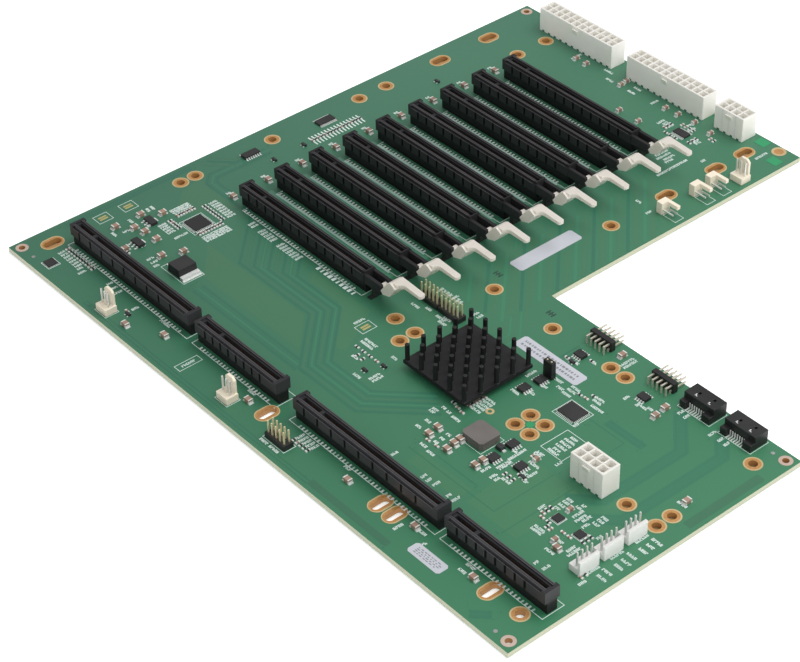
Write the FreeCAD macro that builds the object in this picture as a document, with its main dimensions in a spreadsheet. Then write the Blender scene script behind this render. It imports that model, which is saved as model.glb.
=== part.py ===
import FreeCAD, Part
import math
import operator
import os
from types import SimpleNamespace

import Sketcher
from FreeCAD import Vector

# PCI Express backplane: an L-shaped board with nine latched card slots and a row of host slots.
# X runs along the card slots, Y from the host slots to the power sockets, Z up from the board's underside.

# Driving dimensions in millimetres, one sheet row each
SIZES = {
    # Board
    "board_length": 332.5,
    "board_width": 317.5,
    "board_thickness": 2.36,
    "notch_length": 144.25,
    "notch_width": 159.9,
    "tooling_hole": 3.0,
    "tooling_inset": 4.4,
    "mount_hole": 4.0,
    "oblong_hole": 9.0,
    # Card slots
    "slot_from_left": 43.5,
    "slot_from_front": 101.55,
    "slot_pitch": 20.32,
    "slot_length": 89.0,
    "slot_width": 7.5,
    "slot_height": 11.25,
    "skirt_height": 5.6,
    "skirt_inset": 1.2,
    "slit_width": 1.8,
    "slit_end_wall": 2.6,
    "slit_latch_wall": 1.2,
    "slit_floor": 2.8,
    "key_offset": 14.5,
    "key_width": 1.7,
    "lip_width": 3.4,
    "lip_depth": 0.7,
    "ledge_inset": 0.9,
    "ledge_depth": 1.2,
    "ledge_end": 2.2,
    "rib_start": 6.5,
    "rib_gap": 1.3,
    "rib_depth": 0.85,
    "rib_floor": 5.5,
    "rib_pitch": 6.15,
    # Latch carrier at the slot's end
    "carrier_length": 11.2,
    "carrier_width": 6.8,
    "carrier_bottom": 5.4,
    "channel_width": 3.6,
    "channel_floor": 0.6,
    "channel_start": 7.0,
    "pivot_from_slot": 9.4,
    "pivot_height": 7.7,
    "pivot_diameter": 1.5,
    "pivot_clearance": 0.03,
    "pivot_skin": 0.6,
    # Latch
    "web_clearance": 0.25,
    "web_radius": 1.1,
    "hook_width": 7.2,
    "hook_lean": 4.7,
    "hook_thickness": 4.8,
    "hook_root": 11.5,
    "hook_bottom": 6.5,
    "hook_heel": 1.4,
    "hook_crown": 1.0,
    "latch_top": 15.4,
    "arm_width": 3.2,
    "arm_thickness": 2.4,
    "arm_length": 12.2,
    "arm_bend": 2.8,
    "arm_drop": 0.9,
    "arm_corner": 0.7,
    "hold_down_width": 2.4,
    "hold_down_thickness": 0.5,
    "hold_down_foot": 1.2,
    "hold_down_from_slot": 4.6,
    # Host slots
    "host_from_front": 26.6,
    "host_a_from_left": 17.15,
    "host_b_from_left": 111.2,
    "host_c_from_left": 178.3,
    "host_d_from_left": 271.55,
    "host_short_length": 56.0,
    "host_long_pitch": 8.65,
    "host_short_pitch": 5.4,
    # Power sockets
    "power_pitch": 4.2,
    "power_end": 2.7,
    "power_depth": 9.6,
    "power_height": 12.8,
    "power_cavity": 3.5,
    "power_floor": 3.0,
    "power_pin": 1.0,
    "power_pin_height": 7.6,
    "power_from_back": 6.55,
    "main_from_left": 21.75,
    "main_gap": 10.7,
    "aux_gap": 7.75,
    "aux_from_left": 278.05,
    "aux_from_front": 87.55,
    "ramp_width": 3.6,
    "ramp_depth": 1.0,
    "ramp_top": 11.2,
    "ramp_height": 3.0,
    # Pin headers
    "pin_pitch": 2.54,
    "pin_width": 0.64,
    "pin_clearance": 0.1,
    "header_base": 2.54,
    "header_pin_top": 8.7,
    "jumper_length": 5.08,
    "jumper_height": 6.0,
    # Fan headers
    "fan_length": 10.2,
    "fan_depth": 6.1,
    "fan_base": 3.2,
    "fan_wall": 1.3,
    "fan_wall_height": 7.0,
    "fan_pin_top": 10.0,
    "fan_pitch": 12.8,
    # Friction-lock headers
    "lock_length": 7.5,
    "lock_depth": 6.1,
    "lock_base": 3.4,
    "lock_wall": 1.3,
    "lock_wall_length": 6.0,
    "lock_wall_height": 11.2,
    "lock_pin_top": 10.6,
    # Right-angle wafers
    "wafer_length": 5.4,
    "wafer_depth": 3.4,
    "wafer_height": 6.2,
    "wafer_finger": 6.4,
    "wafer_finger_width": 1.9,
    # Right-angle headers
    "angle_reach": 6.1,
    "angle_tail": 2.2,
    # Serial-disk sockets
    "disk_length": 16.6,
    "disk_depth": 10.3,
    "disk_height": 6.4,
    "disk_step": 2.6,
    "disk_step_height": 3.4,
    "disk_wall": 1.1,
    "disk_mouth": 6.6,
    "disk_tongue": 1.2,
    # Switch chip and heatsink
    "chip_size": 31.0,
    "chip_height": 2.3,
    "pad_size": 27.0,
    "pad_thickness": 0.5,
    "sink_size": 38.4,
    "sink_base": 1.8,
    "sink_pin_pitch": 8.9,
    "sink_pin_diameter": 2.2,
    "sink_pin_height": 8.4,
    # Supply parts
    "inductor_length": 12.4,
    "inductor_width": 11.2,
    "inductor_height": 3.6,
    "inductor_chamfer": 1.2,
    "regulator_length": 9.2,
    "regulator_width": 9.6,
    "regulator_height": 4.4,
    "regulator_tab": 2.2,
    "regulator_tab_thickness": 1.3,
    "cap_length": 3.4,
    "cap_width": 2.4,
    "cap_height": 1.9,
    "label_thickness": 0.12,
    "label_corner": 1.0,
}

CARD_SLOTS = 9
SINK_PINS = 5
HOLE_SIDES = 12
PIN_SIDES = 8
MAIN_WAYS = 12
AUX_WAYS = 4
FAN_WAYS = 4
LOCK_WAYS = 3
WAFER_WAYS = 2
HEADER_WAYS = 5
JUMPER_WAYS = 2

# Hole columns from the board's left edge and rows from its front edge, in millimetres
HOLE_COLUMNS = {
    "a": 10.45, "b": 32.2, "c": 155.5, "d": 168.4, "e": 205.4, "f": 240.7, "g": 249.2, "h": 304.6, "i": 320.8,
}
HOLE_ROWS = {
    "a": 16.75, "b": 88.05, "c": 96.45, "d": 142.1, "e": 196.0, "f": 213.15, "g": 248.5, "h": 281.15,
    "i": 300.6,
}
BOLT_HOLES = "ab ad ib id".split()
ROUND_HOLES = "ac ae af bh bi cc db dc dd df ed fb fc fd gb gc gd hb ia ic".split()
OBLONG_HOLES = "aa ag ah da dg dh di fa ga ha".split()

# Places of the small parts: the centre from the board's left and front edges
LOCK_PLACES = [(67.85, 6.75), (150.15, 10.25), (182.05, 283.0)]
WAFER_PLACES = [(176.1, 238.5), (176.1, 259.6), (176.1, 270.1)]
ANGLE_PLACES = [(227.1, 150.5), (263.5, 150.5)]
DISK_PLACES = [(284.75, 151.05), (307.25, 151.05)]
UPRIGHT_PLACES = {
    "service_header": (185.45, 9.75), "option_header_1": (156.8, 115.95), "option_header_2": (170.1, 115.95),
}
JUMPER_PLACE = (227.75, 119.05)
FAN_PLACE = (318.45, 51.65)
SINK_PLACE = (202.25, 96.45)
INDUCTOR_PLACE = (238.15, 71.75)
REGULATOR_PLACE = (66.35, 48.45)
# Chip packages: centre, then length along X, along Y and height
CHIPS = [
    (42.4, 74.5, 9.2, 9.2, 1.0), (22.9, 7.5, 5.0, 5.0, 0.9), (250.9, 110.4, 9.8, 8.4, 1.0),
    (292.9, 62.5, 4.0, 4.0, 0.9), (305.1, 62.5, 4.0, 4.0, 0.9), (14.0, 126.3, 3.9, 8.7, 1.5),
    (14.8, 170.9, 4.4, 9.7, 1.0), (26.9, 59.2, 6.5, 3.5, 1.6), (36.8, 45.2, 6.5, 3.5, 1.6),
    (226.5, 138.2, 4.9, 3.9, 1.5), (263.7, 138.4, 4.9, 3.9, 1.5), (226.8, 105.7, 3.9, 4.9, 1.5),
    (227.5, 114.2, 3.9, 4.9, 1.5), (250.5, 67.1, 3.9, 4.9, 1.5), (249.6, 78.4, 3.9, 4.9, 1.5),
    (261.6, 71.7, 3.9, 4.9, 1.5), (137.25, 290.45, 7.8, 4.4, 1.0),
]
# Larger ceramic capacitors, longest along X
CAPS_ALONG_X = [
    (222.6, 57.5), (222.0, 62.8), (234.5, 56.7), (233.7, 61.2), (233.5, 64.6), (249.2, 58.7), (249.1, 63.0),
    (304.8, 50.6), (260.1, 17.9), (295.7, 16.2), (222.3, 15.3), (99.3, 14.9), (157.4, 15.6), (82.0, 6.7),
]
# Larger ceramic capacitors, longest along Y
CAPS_ALONG_Y = [
    (20.0, 44.5), (19.7, 58.7), (26.3, 50.6), (32.0, 52.4), (40.1, 53.0), (25.4, 67.0), (36.9, 38.2),
    (51.8, 47.4), (55.9, 56.6), (319.2, 106.2), (238.4, 151.0), (274.2, 140.0), (275.1, 133.5),
]
# Paper labels: centre, then length along X and along Y
LABELS = [(162.5, 178.5, 8.4, 37.6), (220.4, 126.6, 38.0, 7.8), (276.0, 10.5, 18.4, 6.2)]


class Size:
    """A length with the sheet formula that drives it."""

    def __init__(self, value, formula):
        self.value = value
        self.formula = formula

    def __add__(self, other):
        return join(operator.add, "+", self, other)

    def __radd__(self, other):
        return join(operator.add, "+", other, self)

    def __sub__(self, other):
        return join(operator.sub, "-", self, other)

    def __rsub__(self, other):
        return join(operator.sub, "-", other, self)

    def __mul__(self, other):
        return join(operator.mul, "*", self, other)

    def __rmul__(self, other):
        return join(operator.mul, "*", other, self)

    def __truediv__(self, other):
        return join(operator.truediv, "/", self, other)

    def __neg__(self):
        return 0 - self


def as_size(number):
    """A plain number as a size, so that both can be used alike."""
    if isinstance(number, Size):
        return number
    return Size(float(number), f"({float(number)!r})")


def join(action, sign, first, second):
    first = as_size(first)
    second = as_size(second)
    return Size(action(first.value, second.value), f"({first.formula} {sign} {second.formula})")


doc = FreeCAD.newDocument("pcie_backplane")
sheet = doc.addObject("Spreadsheet::Sheet", "Dims")
for line, (alias, number) in enumerate(SIZES.items(), 1):
    sheet.set(f"A{line}", alias)
    sheet.set(f"B{line}", str(number))
    sheet.setAlias(f"B{line}", alias)
doc.recompute()
d = SimpleNamespace(**{alias: Size(number, f"Dims.{alias}") for alias, number in SIZES.items()})

# Places that the pieces share
LEFT = -d.board_length / 2
FRONT = -d.board_width / 2
BACK = d.board_width / 2
DECK = d.board_thickness
NOTCH_EDGE = BACK - d.notch_width
NOTCH_SIDE = d.board_length / 2 - d.notch_length

parts = []


def bind(target, prop, size):
    """Ties one property to the sheet."""
    target.setExpression(prop, as_size(size).formula)


def place(target, x, y, z):
    bind(target, "Placement.Base.x", x)
    bind(target, "Placement.Base.y", y)
    bind(target, "Placement.Base.z", z)


def list_part(item, label):
    """Names a finished sub-part and puts it on the list to write."""
    item.Label = label
    parts.append(item)


def new_body(label, x, y, z):
    body = doc.addObject("PartDesign::Body", label)
    place(body, x, y, z)
    list_part(body, label)
    return body


def origin_feature(body, role):
    return [feature for feature in body.Origin.OriginFeatures if feature.Role == role][0]


def new_sketch(body, role="XY_Plane", lift=0):
    sketch = body.newObject("Sketcher::SketchObject", "Sketch")
    sketch.AttachmentSupport = [(origin_feature(body, role), "")]
    sketch.MapMode = "FlatFace"
    bind(sketch, ".AttachmentOffset.Base.z", lift)
    return sketch


def pin_point(sketch, geometry, corner, x, y):
    """Ties one point of a sketch to the sheet."""
    for kind, size in (("DistanceX", as_size(x)), ("DistanceY", as_size(y))):
        index = sketch.addConstraint(Sketcher.Constraint(kind, -1, 1, geometry, corner, size.value))
        bind(sketch, f"Constraints[{index}]", size)


def polygon(sketch, points):
    """A closed outline of straight edges through points."""
    first = sketch.GeometryCount
    count = len(points)
    corners = [Vector(as_size(x).value, as_size(y).value, 0) for x, y in points]
    sketch.addGeometry([Part.LineSegment(corners[i], corners[(i + 1) % count]) for i in range(count)])
    for i in range(count):
        sketch.addConstraint(Sketcher.Constraint("Coincident", first + i, 2, first + (i + 1) % count, 1))
    for i, (x, y) in enumerate(points):
        pin_point(sketch, first + i, 1, x, y)


def rectangle(sketch, x0, y0, x1, y1):
    polygon(sketch, [(x0, y0), (x1, y0), (x1, y1), (x0, y1)])


def square(sketch, x, y, side):
    rectangle(sketch, x - side / 2, y - side / 2, x + side / 2, y + side / 2)


def cut_rectangle(sketch, x, y, length, width, corner):
    """A rectangle round x, y with its corners cut off."""
    half_x = length / 2
    half_y = width / 2
    flat_x = half_x - corner
    flat_y = half_y - corner
    right = [(flat_x, -half_y), (half_x, -flat_y), (half_x, flat_y), (flat_x, half_y)]
    left = [(-flat_x, half_y), (-half_x, flat_y), (-half_x, -flat_y), (-flat_x, -half_y)]
    polygon(sketch, [(x + across, y + along) for across, along in right + left])


def round_polygon(sketch, x, y, diameter, sides):
    """A regular outline with its corners on a circle and a flat below."""
    turns = [2 * math.pi * (corner + 0.5) / sides - math.pi / 2 for corner in range(sides)]
    radius = diameter / 2
    polygon(sketch, [(x + radius * math.cos(turn), y + radius * math.sin(turn)) for turn in turns])


def circle(sketch, x, y, diameter):
    radius = as_size(diameter) / 2
    centre = Vector(as_size(x).value, as_size(y).value, 0)
    index = sketch.addGeometry(Part.Circle(centre, Vector(0, 0, 1), radius.value))
    pin_point(sketch, index, 3, x, y)
    bound = sketch.addConstraint(Sketcher.Constraint("Radius", index, radius.value))
    bind(sketch, f"Constraints[{bound}]", radius)


def finish(body, feature):
    body.Tip = feature
    doc.recompute([body])
    return feature


def pad(body, sketch, length, midplane=False, reverse=False):
    feature = body.newObject("PartDesign::Pad", "Pad")
    feature.Profile = sketch
    bind(feature, "Length", length)
    feature.Midplane = midplane
    feature.Reversed = reverse
    return finish(body, feature)


def pocket(body, sketch, depth, midplane=False, reverse=False):
    """A cut that has to take material away."""
    before = body.Shape.Volume
    feature = body.newObject("PartDesign::Pocket", "Pocket")
    feature.Profile = sketch
    bind(feature, "Length", depth)
    feature.Midplane = midplane
    feature.Reversed = reverse
    finish(body, feature)
    if not body.Shape.Volume < before:
        raise RuntimeError(f"{body.Label}: a cut took nothing away")
    return feature


def row(body, feature, spacing, count, role="X_Axis", second=None):
    """Repeats a feature in a row, or in rows along a second axis too."""
    pattern = body.newObject("PartDesign::LinearPattern", "Row")
    pattern.Originals = [feature]
    pattern.Direction = (origin_feature(body, role), [""])
    pattern.Mode = "Spacing"
    bind(pattern, "Offset", spacing)
    pattern.Occurrences = count
    if second:
        role_2, spacing_2, count_2 = second
        pattern.Direction2 = (origin_feature(body, role_2), [""])
        pattern.Mode2 = "Extent"
        bind(pattern, "Length2", spacing_2 * (count_2 - 1))
        pattern.Occurrences2 = count_2
    return finish(body, pattern)


def upright_edges(feature, x, y):
    """The names of the edges that stand at x, y."""
    near = 1e-4
    names = []
    for index, edge in enumerate(feature.Shape.Edges, 1):
        ends = [vertex.Point for vertex in edge.Vertexes]
        if all(abs(point.x - x.value) < near and abs(point.y - y.value) < near for point in ends):
            names.append(f"Edge{index}")
    return names


def fillet(body, feature, edges, radius):
    rounding = body.newObject("PartDesign::Fillet", "Fillet")
    rounding.Base = (feature, edges)
    bind(rounding, "Radius", radius)
    return finish(body, rounding)


def block(name, x, y, z, length, width, height):
    """A plain block standing on z, centred on x, y."""
    box = doc.addObject("Part::Box", name)
    bind(box, "Length", length)
    bind(box, "Width", width)
    bind(box, "Height", height)
    place(box, x - as_size(length) / 2, y - as_size(width) / 2, z)
    return box


def group(label, objects):
    """Separate solids that share one sub-part."""
    compound = doc.addObject("Part::Compound", label)
    compound.Links = objects
    list_part(compound, label)


def hole_cutter(x, y, diameter):
    """A many-sided plug through the board, with its flats on the hole's circle."""
    plug = doc.addObject("Part::Prism", "Plug")
    plug.Polygon = HOLE_SIDES
    bind(plug, "Circumradius", diameter / (2 * math.cos(math.pi / HOLE_SIDES)))
    bind(plug, "Height", d.board_thickness)
    place(plug, x, y, 0)
    return plug


def oblong_cutter(x, y):
    """Two plugs with the straight stretch between them, longest along Y."""
    reach = (d.oblong_hole - d.mount_hole) / 2
    ends = [hole_cutter(x, y + side * reach, d.mount_hole) for side in (-1, 1)]
    across = d.mount_hole / math.cos(math.pi / HOLE_SIDES)
    stretch = block("Stretch", x, y, 0, across, 2 * reach, d.board_thickness)
    cutter = doc.addObject("Part::MultiFuse", "Oblong")
    cutter.Shapes = ends + [stretch]
    return cutter


def make_board():
    """The L-shaped board: its bolt holes bored, the other round and oblong holes punched."""
    blank = doc.addObject("PartDesign::Body", "BoardBlank")
    place(blank, LEFT, FRONT, 0)
    outline = new_sketch(blank)
    inner_x = d.board_length - d.notch_length
    inner_y = d.board_width - d.notch_width
    corners = [(0, 0), (d.board_length, 0), (d.board_length, inner_y), (inner_x, inner_y)]
    polygon(outline, corners + [(inner_x, d.board_width), (0, d.board_width)])
    pad(blank, outline, d.board_thickness)
    bolts = new_sketch(blank, lift=d.board_thickness)
    for column, line in BOLT_HOLES:
        circle(bolts, HOLE_COLUMNS[column], HOLE_ROWS[line], d.mount_hole)
    pocket(blank, bolts, d.board_thickness)
    inset = d.tooling_inset
    tooling = [(inset, inset), (d.board_length - inset, inset), (inset, d.board_width - inset)]
    tooling.append((d.board_length - inset, inner_y - inset))
    cutters = [hole_cutter(LEFT + x, FRONT + y, d.tooling_hole) for x, y in tooling]
    for column, line in ROUND_HOLES:
        cutters.append(hole_cutter(LEFT + HOLE_COLUMNS[column], FRONT + HOLE_ROWS[line], d.mount_hole))
    for column, line in OBLONG_HOLES:
        cutters.append(oblong_cutter(LEFT + HOLE_COLUMNS[column], FRONT + HOLE_ROWS[line]))
    punch = doc.addObject("Part::Compound", "Punch")
    punch.Links = cutters
    board = doc.addObject("Part::Cut", "circuit_board")
    board.Base = blank
    board.Tool = punch
    list_part(board, "circuit_board")


def make_slot(label, x, y, length, rib_pitch, far_wall, far_ledge):
    """A card slot: overhanging housing on a narrower skirt, keyed slit, stepped rims and ribbed sides."""
    body = new_body(label, x, y, DECK)
    half = d.slot_width / 2
    inset = d.skirt_inset
    skirt = new_sketch(body)
    rectangle(skirt, 0, inset - half, length, half - inset)
    pad(body, skirt, d.skirt_height)
    housing = new_sketch(body, lift=d.skirt_height)
    rectangle(housing, 0, -half, length, half)
    pad(body, housing, d.slot_height - d.skirt_height)
    slit = new_sketch(body, lift=d.slot_height)
    key_start = d.key_offset - d.key_width / 2
    for start, end in ((d.slit_end_wall, key_start), (key_start + d.key_width, length - far_wall)):
        rectangle(slit, start, -d.slit_width / 2, end, d.slit_width / 2)
    pocket(body, slit, d.slot_height - d.slit_floor)
    lip = new_sketch(body, lift=d.slot_height)
    rectangle(lip, d.slit_end_wall / 2, -d.lip_width / 2, length - far_wall / 2, d.lip_width / 2)
    pocket(body, lip, d.lip_depth)
    ledge = new_sketch(body, lift=d.slot_height)
    for near, far in ((-half, d.ledge_inset - half), (half - d.ledge_inset, half)):
        rectangle(ledge, d.ledge_end, near, length - far_ledge, far)
    pocket(body, ledge, d.ledge_depth)
    ribs = new_sketch(body, lift=d.slot_height)
    middle = d.rib_start + d.rib_gap / 2
    for side, root in ((-half, d.rib_depth - half), (half, half - d.rib_depth)):
        polygon(ribs, [(d.rib_start, side), (d.rib_start + d.rib_gap, side), (middle, root)])
    gaps = pocket(body, ribs, d.slot_height - d.rib_floor)
    count = int((length - 2 * d.rib_start).value // rib_pitch.value) + 1
    row(body, gaps, rib_pitch, count)
    return body


def add_latch_carrier(body):
    """The trough that overhangs the board past the slot's end, open below where the latch's pivot sits."""
    start = d.slot_length
    end = start + d.carrier_length
    top = d.slot_height - d.ledge_depth
    carrier = new_sketch(body, lift=d.carrier_bottom)
    rectangle(carrier, start, -d.carrier_width / 2, end, d.carrier_width / 2)
    pad(body, carrier, top - d.carrier_bottom)
    trough = new_sketch(body, lift=top)
    rectangle(trough, start, -d.channel_width / 2, start + d.channel_start, d.channel_width / 2)
    pocket(body, trough, top - d.carrier_bottom - d.channel_floor)
    channel = new_sketch(body, lift=top)
    rectangle(channel, start + d.channel_start, -d.channel_width / 2, end, d.channel_width / 2)
    pocket(body, channel, top - d.carrier_bottom)
    bore = new_sketch(body, "XZ_Plane")
    across = (d.pivot_diameter + 2 * d.pivot_clearance) / math.cos(math.pi / PIN_SIDES)
    round_polygon(bore, start + d.pivot_from_slot, d.pivot_height, across, PIN_SIDES)
    pocket(body, bore, d.carrier_width - 2 * d.pivot_skin, midplane=True)


def make_latch(label, x, y):
    """A slot latch: a pivoted web in the carrier's channel, a leaning hook block and a finger arm."""
    body = new_body(label, x, y, DECK)
    pivot_x = d.slot_length + d.pivot_from_slot
    pivot_z = d.pivot_height
    root = d.slot_length + d.hook_root
    thick = d.hook_thickness
    crown = root + d.hook_lean + thick * 0.4
    bend = root + d.hook_lean + thick
    tip = bend + d.arm_length
    side = d.hook_width / 2
    inner = side - d.arm_width
    heel = d.hook_bottom + d.hook_heel
    under = d.latch_top - d.arm_thickness
    hook = new_sketch(body, "XZ_Plane")
    foot = [(root, heel), (root + thick * 0.3, d.hook_bottom), (root + thick * 1.25, heel), (bend, under)]
    head = [(bend, d.latch_top), (crown, d.latch_top), (root + d.hook_lean, d.latch_top - d.hook_crown)]
    polygon(hook, foot + head)
    pad(body, hook, d.hook_width, midplane=True)
    arm = new_sketch(body, lift=under)
    corner = d.arm_corner
    finger = [(bend, inner), (tip - corner, inner), (tip, inner + corner)]
    finger += [(tip, side - corner), (tip - corner, side)]
    polygon(arm, [(crown, -side), (bend, -side)] + finger + [(crown, side)])
    plate = pad(body, arm, d.arm_thickness)
    fillet(body, plate, upright_edges(plate, bend, inner), d.arm_bend)
    slope = new_sketch(body, "XZ_Plane")
    polygon(slope, [(crown, d.latch_top), (tip, d.latch_top - d.arm_drop), (tip, d.latch_top)])
    pocket(body, slope, d.hook_width, midplane=True)
    shoulder = new_sketch(body, "XZ_Plane", lift=d.arm_bend - inner)
    fall = d.latch_top - d.hook_crown * 1.6
    polygon(shoulder, [(crown, d.latch_top), (bend, fall), (bend, d.latch_top)])
    pocket(body, shoulder, side - d.arm_bend + inner, reverse=True)
    web = new_sketch(body, "XZ_Plane")
    radius = d.web_radius
    joint = root + thick * 0.45
    front = [(pivot_x - radius / 2, pivot_z - radius), (joint, pivot_z - radius), (joint, pivot_z + radius)]
    polygon(web, front + [(pivot_x - radius / 2, pivot_z + radius), (pivot_x - radius * 1.2, pivot_z)])
    pad(body, web, d.channel_width - 2 * d.web_clearance, midplane=True)
    pins = new_sketch(body, "XZ_Plane")
    round_polygon(pins, pivot_x, pivot_z, d.pivot_diameter, PIN_SIDES)
    pad(body, pins, d.carrier_width - 2 * d.pivot_skin - 2 * d.web_clearance, midplane=True)


def make_card_slots():
    hold_downs = []
    for index in range(CARD_SLOTS):
        x = LEFT + d.slot_from_left
        y = FRONT + d.slot_from_front + d.slot_pitch * index
        slot = make_slot(f"pcie_slot_{index + 1}", x, y, d.slot_length, d.rib_pitch, d.slit_latch_wall, 0)
        add_latch_carrier(slot)
        make_latch(f"slot_latch_{index + 1}", x, y)
        tab_x = x + d.slot_length + d.hold_down_from_slot
        post = block("Post", tab_x, y, DECK, d.hold_down_width, d.carrier_width * 0.6, d.carrier_bottom)
        reach = d.carrier_width / 2 + d.hold_down_foot
        foot = block("Foot", tab_x, y, DECK, d.hold_down_width, 2 * reach, d.hold_down_thickness)
        tab = doc.addObject("Part::Fuse", "HoldDown")
        tab.Base = post
        tab.Tool = foot
        hold_downs.append(tab)
    group("slot_hold_downs", hold_downs)


def make_host_slots():
    y = FRONT + d.host_from_front
    long_slot = (d.slot_length, d.host_long_pitch, d.slit_end_wall, d.ledge_end)
    short_slot = (d.host_short_length, d.host_short_pitch, d.slit_end_wall, d.ledge_end)
    make_slot("host_slot_a", LEFT + d.host_a_from_left, y, *long_slot)
    make_slot("host_slot_b", LEFT + d.host_b_from_left, y, *short_slot)
    make_slot("host_slot_c", LEFT + d.host_c_from_left, y, *long_slot)
    make_slot("host_slot_d", LEFT + d.host_d_from_left, y, *short_slot)


def power_length(ways):
    return d.power_pitch * (ways - 1) + 2 * d.power_end


def make_power_socket(label, x, y, ways):
    """A two-row power socket: open cavities and a latch ramp."""
    body = new_body(label, x, y, DECK)
    length = power_length(ways)
    half = d.power_depth / 2
    shell = new_sketch(body)
    rectangle(shell, 0, -half, length, half)
    pad(body, shell, d.power_height)
    cavity = new_sketch(body, lift=d.power_height)
    square(cavity, d.power_end, -d.power_pitch / 2, d.power_cavity)
    hollow = pocket(body, cavity, d.power_height - d.power_floor)
    row(body, hollow, d.power_pitch, ways, second=("Y_Axis", d.power_pitch, 2))
    ramp = new_sketch(body, "YZ_Plane", lift=length / 2)
    foot = d.ramp_top - d.ramp_height
    polygon(ramp, [(-half, foot), (-half, d.ramp_top), (-half - d.ramp_depth, d.ramp_top)])
    pad(body, ramp, d.ramp_width, midplane=True)


def make_power_sockets():
    """Two main sockets and an auxiliary one in a row along the back, a second auxiliary one by the fans."""
    back_y = BACK - d.power_from_back
    first_x = LEFT + d.main_from_left
    second_x = first_x + power_length(MAIN_WAYS) + d.main_gap
    third_x = second_x + power_length(MAIN_WAYS) + d.aux_gap
    sockets = [
        ("main_power_socket_1", first_x, back_y, MAIN_WAYS),
        ("main_power_socket_2", second_x, back_y, MAIN_WAYS),
        ("aux_power_socket_1", third_x, back_y, AUX_WAYS),
        ("aux_power_socket_2", LEFT + d.aux_from_left, FRONT + d.aux_from_front, AUX_WAYS),
    ]
    for label, x, y, ways in sockets:
        make_power_socket(label, x, y, ways)
    pins = new_body("power_pins", 0, 0, DECK + d.power_floor)
    for label, x, y, ways in sockets:
        section = new_sketch(pins)
        square(section, x + d.power_end, y - d.power_pitch / 2, d.power_pin)
        pin = pad(pins, section, d.power_pin_height)
        row(pins, pin, d.power_pitch, ways, second=("Y_Axis", d.power_pitch, 2))


def pin_post(x, y, base, top):
    """A square pin that stands on a moulded base."""
    return block("Pin", x, y, DECK + base, d.pin_width, d.pin_width, top - base)


def header_base(label, x, y, columns, rows):
    """A moulded pin-header base, one pitch square for each pin."""
    body = new_body(label, x, y, DECK)
    half_x = d.pin_pitch * columns / 2
    half_y = d.pin_pitch * rows / 2
    base = new_sketch(body)
    rectangle(base, -half_x, -half_y, half_x, half_y)
    pad(body, base, d.header_base)


def make_jumper_cap(x, y):
    """A cap over the jumper header, with a passage for each pin."""
    body = new_body("jumper_cap", x, y, DECK + d.header_base)
    half_x = d.jumper_length / 2
    outline = new_sketch(body)
    rectangle(outline, -half_x, -d.pin_pitch / 2, half_x, d.pin_pitch / 2)
    pad(body, outline, d.jumper_height)
    hole = new_sketch(body, lift=d.jumper_height)
    square(hole, -d.pin_pitch * (JUMPER_WAYS - 1) / 2, 0, d.pin_width + 2 * d.pin_clearance)
    passage = pocket(body, hole, d.jumper_height)
    row(body, passage, d.pin_pitch, JUMPER_WAYS)


def make_upright_headers():
    pins = []
    for label, (left, front) in UPRIGHT_PLACES.items():
        x = LEFT + left
        y = FRONT + front
        header_base(label, x, y, HEADER_WAYS, 2)
        for column in range(HEADER_WAYS):
            for line in range(2):
                pin_x = x + d.pin_pitch * (column - (HEADER_WAYS - 1) / 2)
                pins.append(pin_post(pin_x, y + d.pin_pitch * (line - 0.5), d.header_base, d.header_pin_top))
    x = LEFT + JUMPER_PLACE[0]
    y = FRONT + JUMPER_PLACE[1]
    header_base("jumper_header", x, y, JUMPER_WAYS, 1)
    for column in range(JUMPER_WAYS):
        pin_x = x + d.pin_pitch * (column - (JUMPER_WAYS - 1) / 2)
        pins.append(pin_post(pin_x, y, d.header_base, d.header_pin_top))
    group("header_pins", pins)
    make_jumper_cap(x, y)


def make_fan_headers():
    """Four-way fan headers in a row along Y, each with a friction wall on its +X side."""
    pins = []
    for index in range(3):
        x = LEFT + FAN_PLACE[0]
        y = FRONT + FAN_PLACE[1] + d.fan_pitch * index
        body = new_body(f"fan_header_{index + 1}", x, y, DECK)
        base = new_sketch(body)
        rectangle(base, -d.fan_depth / 2, -d.fan_length / 2, d.fan_depth / 2, d.fan_length / 2)
        pad(body, base, d.fan_base)
        wall = new_sketch(body, lift=d.fan_base)
        rectangle(wall, d.fan_depth / 2 - d.fan_wall, -d.fan_length / 2, d.fan_depth / 2, d.fan_length / 2)
        pad(body, wall, d.fan_wall_height - d.fan_base)
        first = -d.pin_pitch * (FAN_WAYS - 1) / 2
        for way in range(FAN_WAYS):
            pins.append(pin_post(x, y + first + d.pin_pitch * way, d.fan_base, d.fan_pin_top))
    group("fan_header_pins", pins)


def make_lock_headers():
    """Three-way headers whose tall friction wall stands on the +Y side."""
    pins = []
    for index, (left, front) in enumerate(LOCK_PLACES, 1):
        x = LEFT + left
        y = FRONT + front
        body = new_body(f"lock_header_{index}", x, y, DECK)
        half_x = d.lock_length / 2
        half_y = d.lock_depth / 2
        base = new_sketch(body)
        rectangle(base, -half_x, -half_y, half_x, half_y)
        pad(body, base, d.lock_base)
        wall = new_sketch(body, "XZ_Plane", lift=-half_y)
        half_wall = d.lock_wall_length / 2
        corner = d.lock_wall
        polygon(
            wall,
            [
                (-half_wall, d.lock_base),
                (half_wall, d.lock_base),
                (half_wall, d.lock_wall_height - corner),
                (half_wall - corner, d.lock_wall_height),
                (corner - half_wall, d.lock_wall_height),
                (-half_wall, d.lock_wall_height - corner),
            ],
        )
        pad(body, wall, d.lock_wall)
        first = -d.pin_pitch * (LOCK_WAYS - 1) / 2
        for way in range(LOCK_WAYS):
            pins.append(pin_post(x + first + d.pin_pitch * way, y, d.lock_base, d.lock_pin_top))
    group("lock_header_pins", pins)


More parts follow.
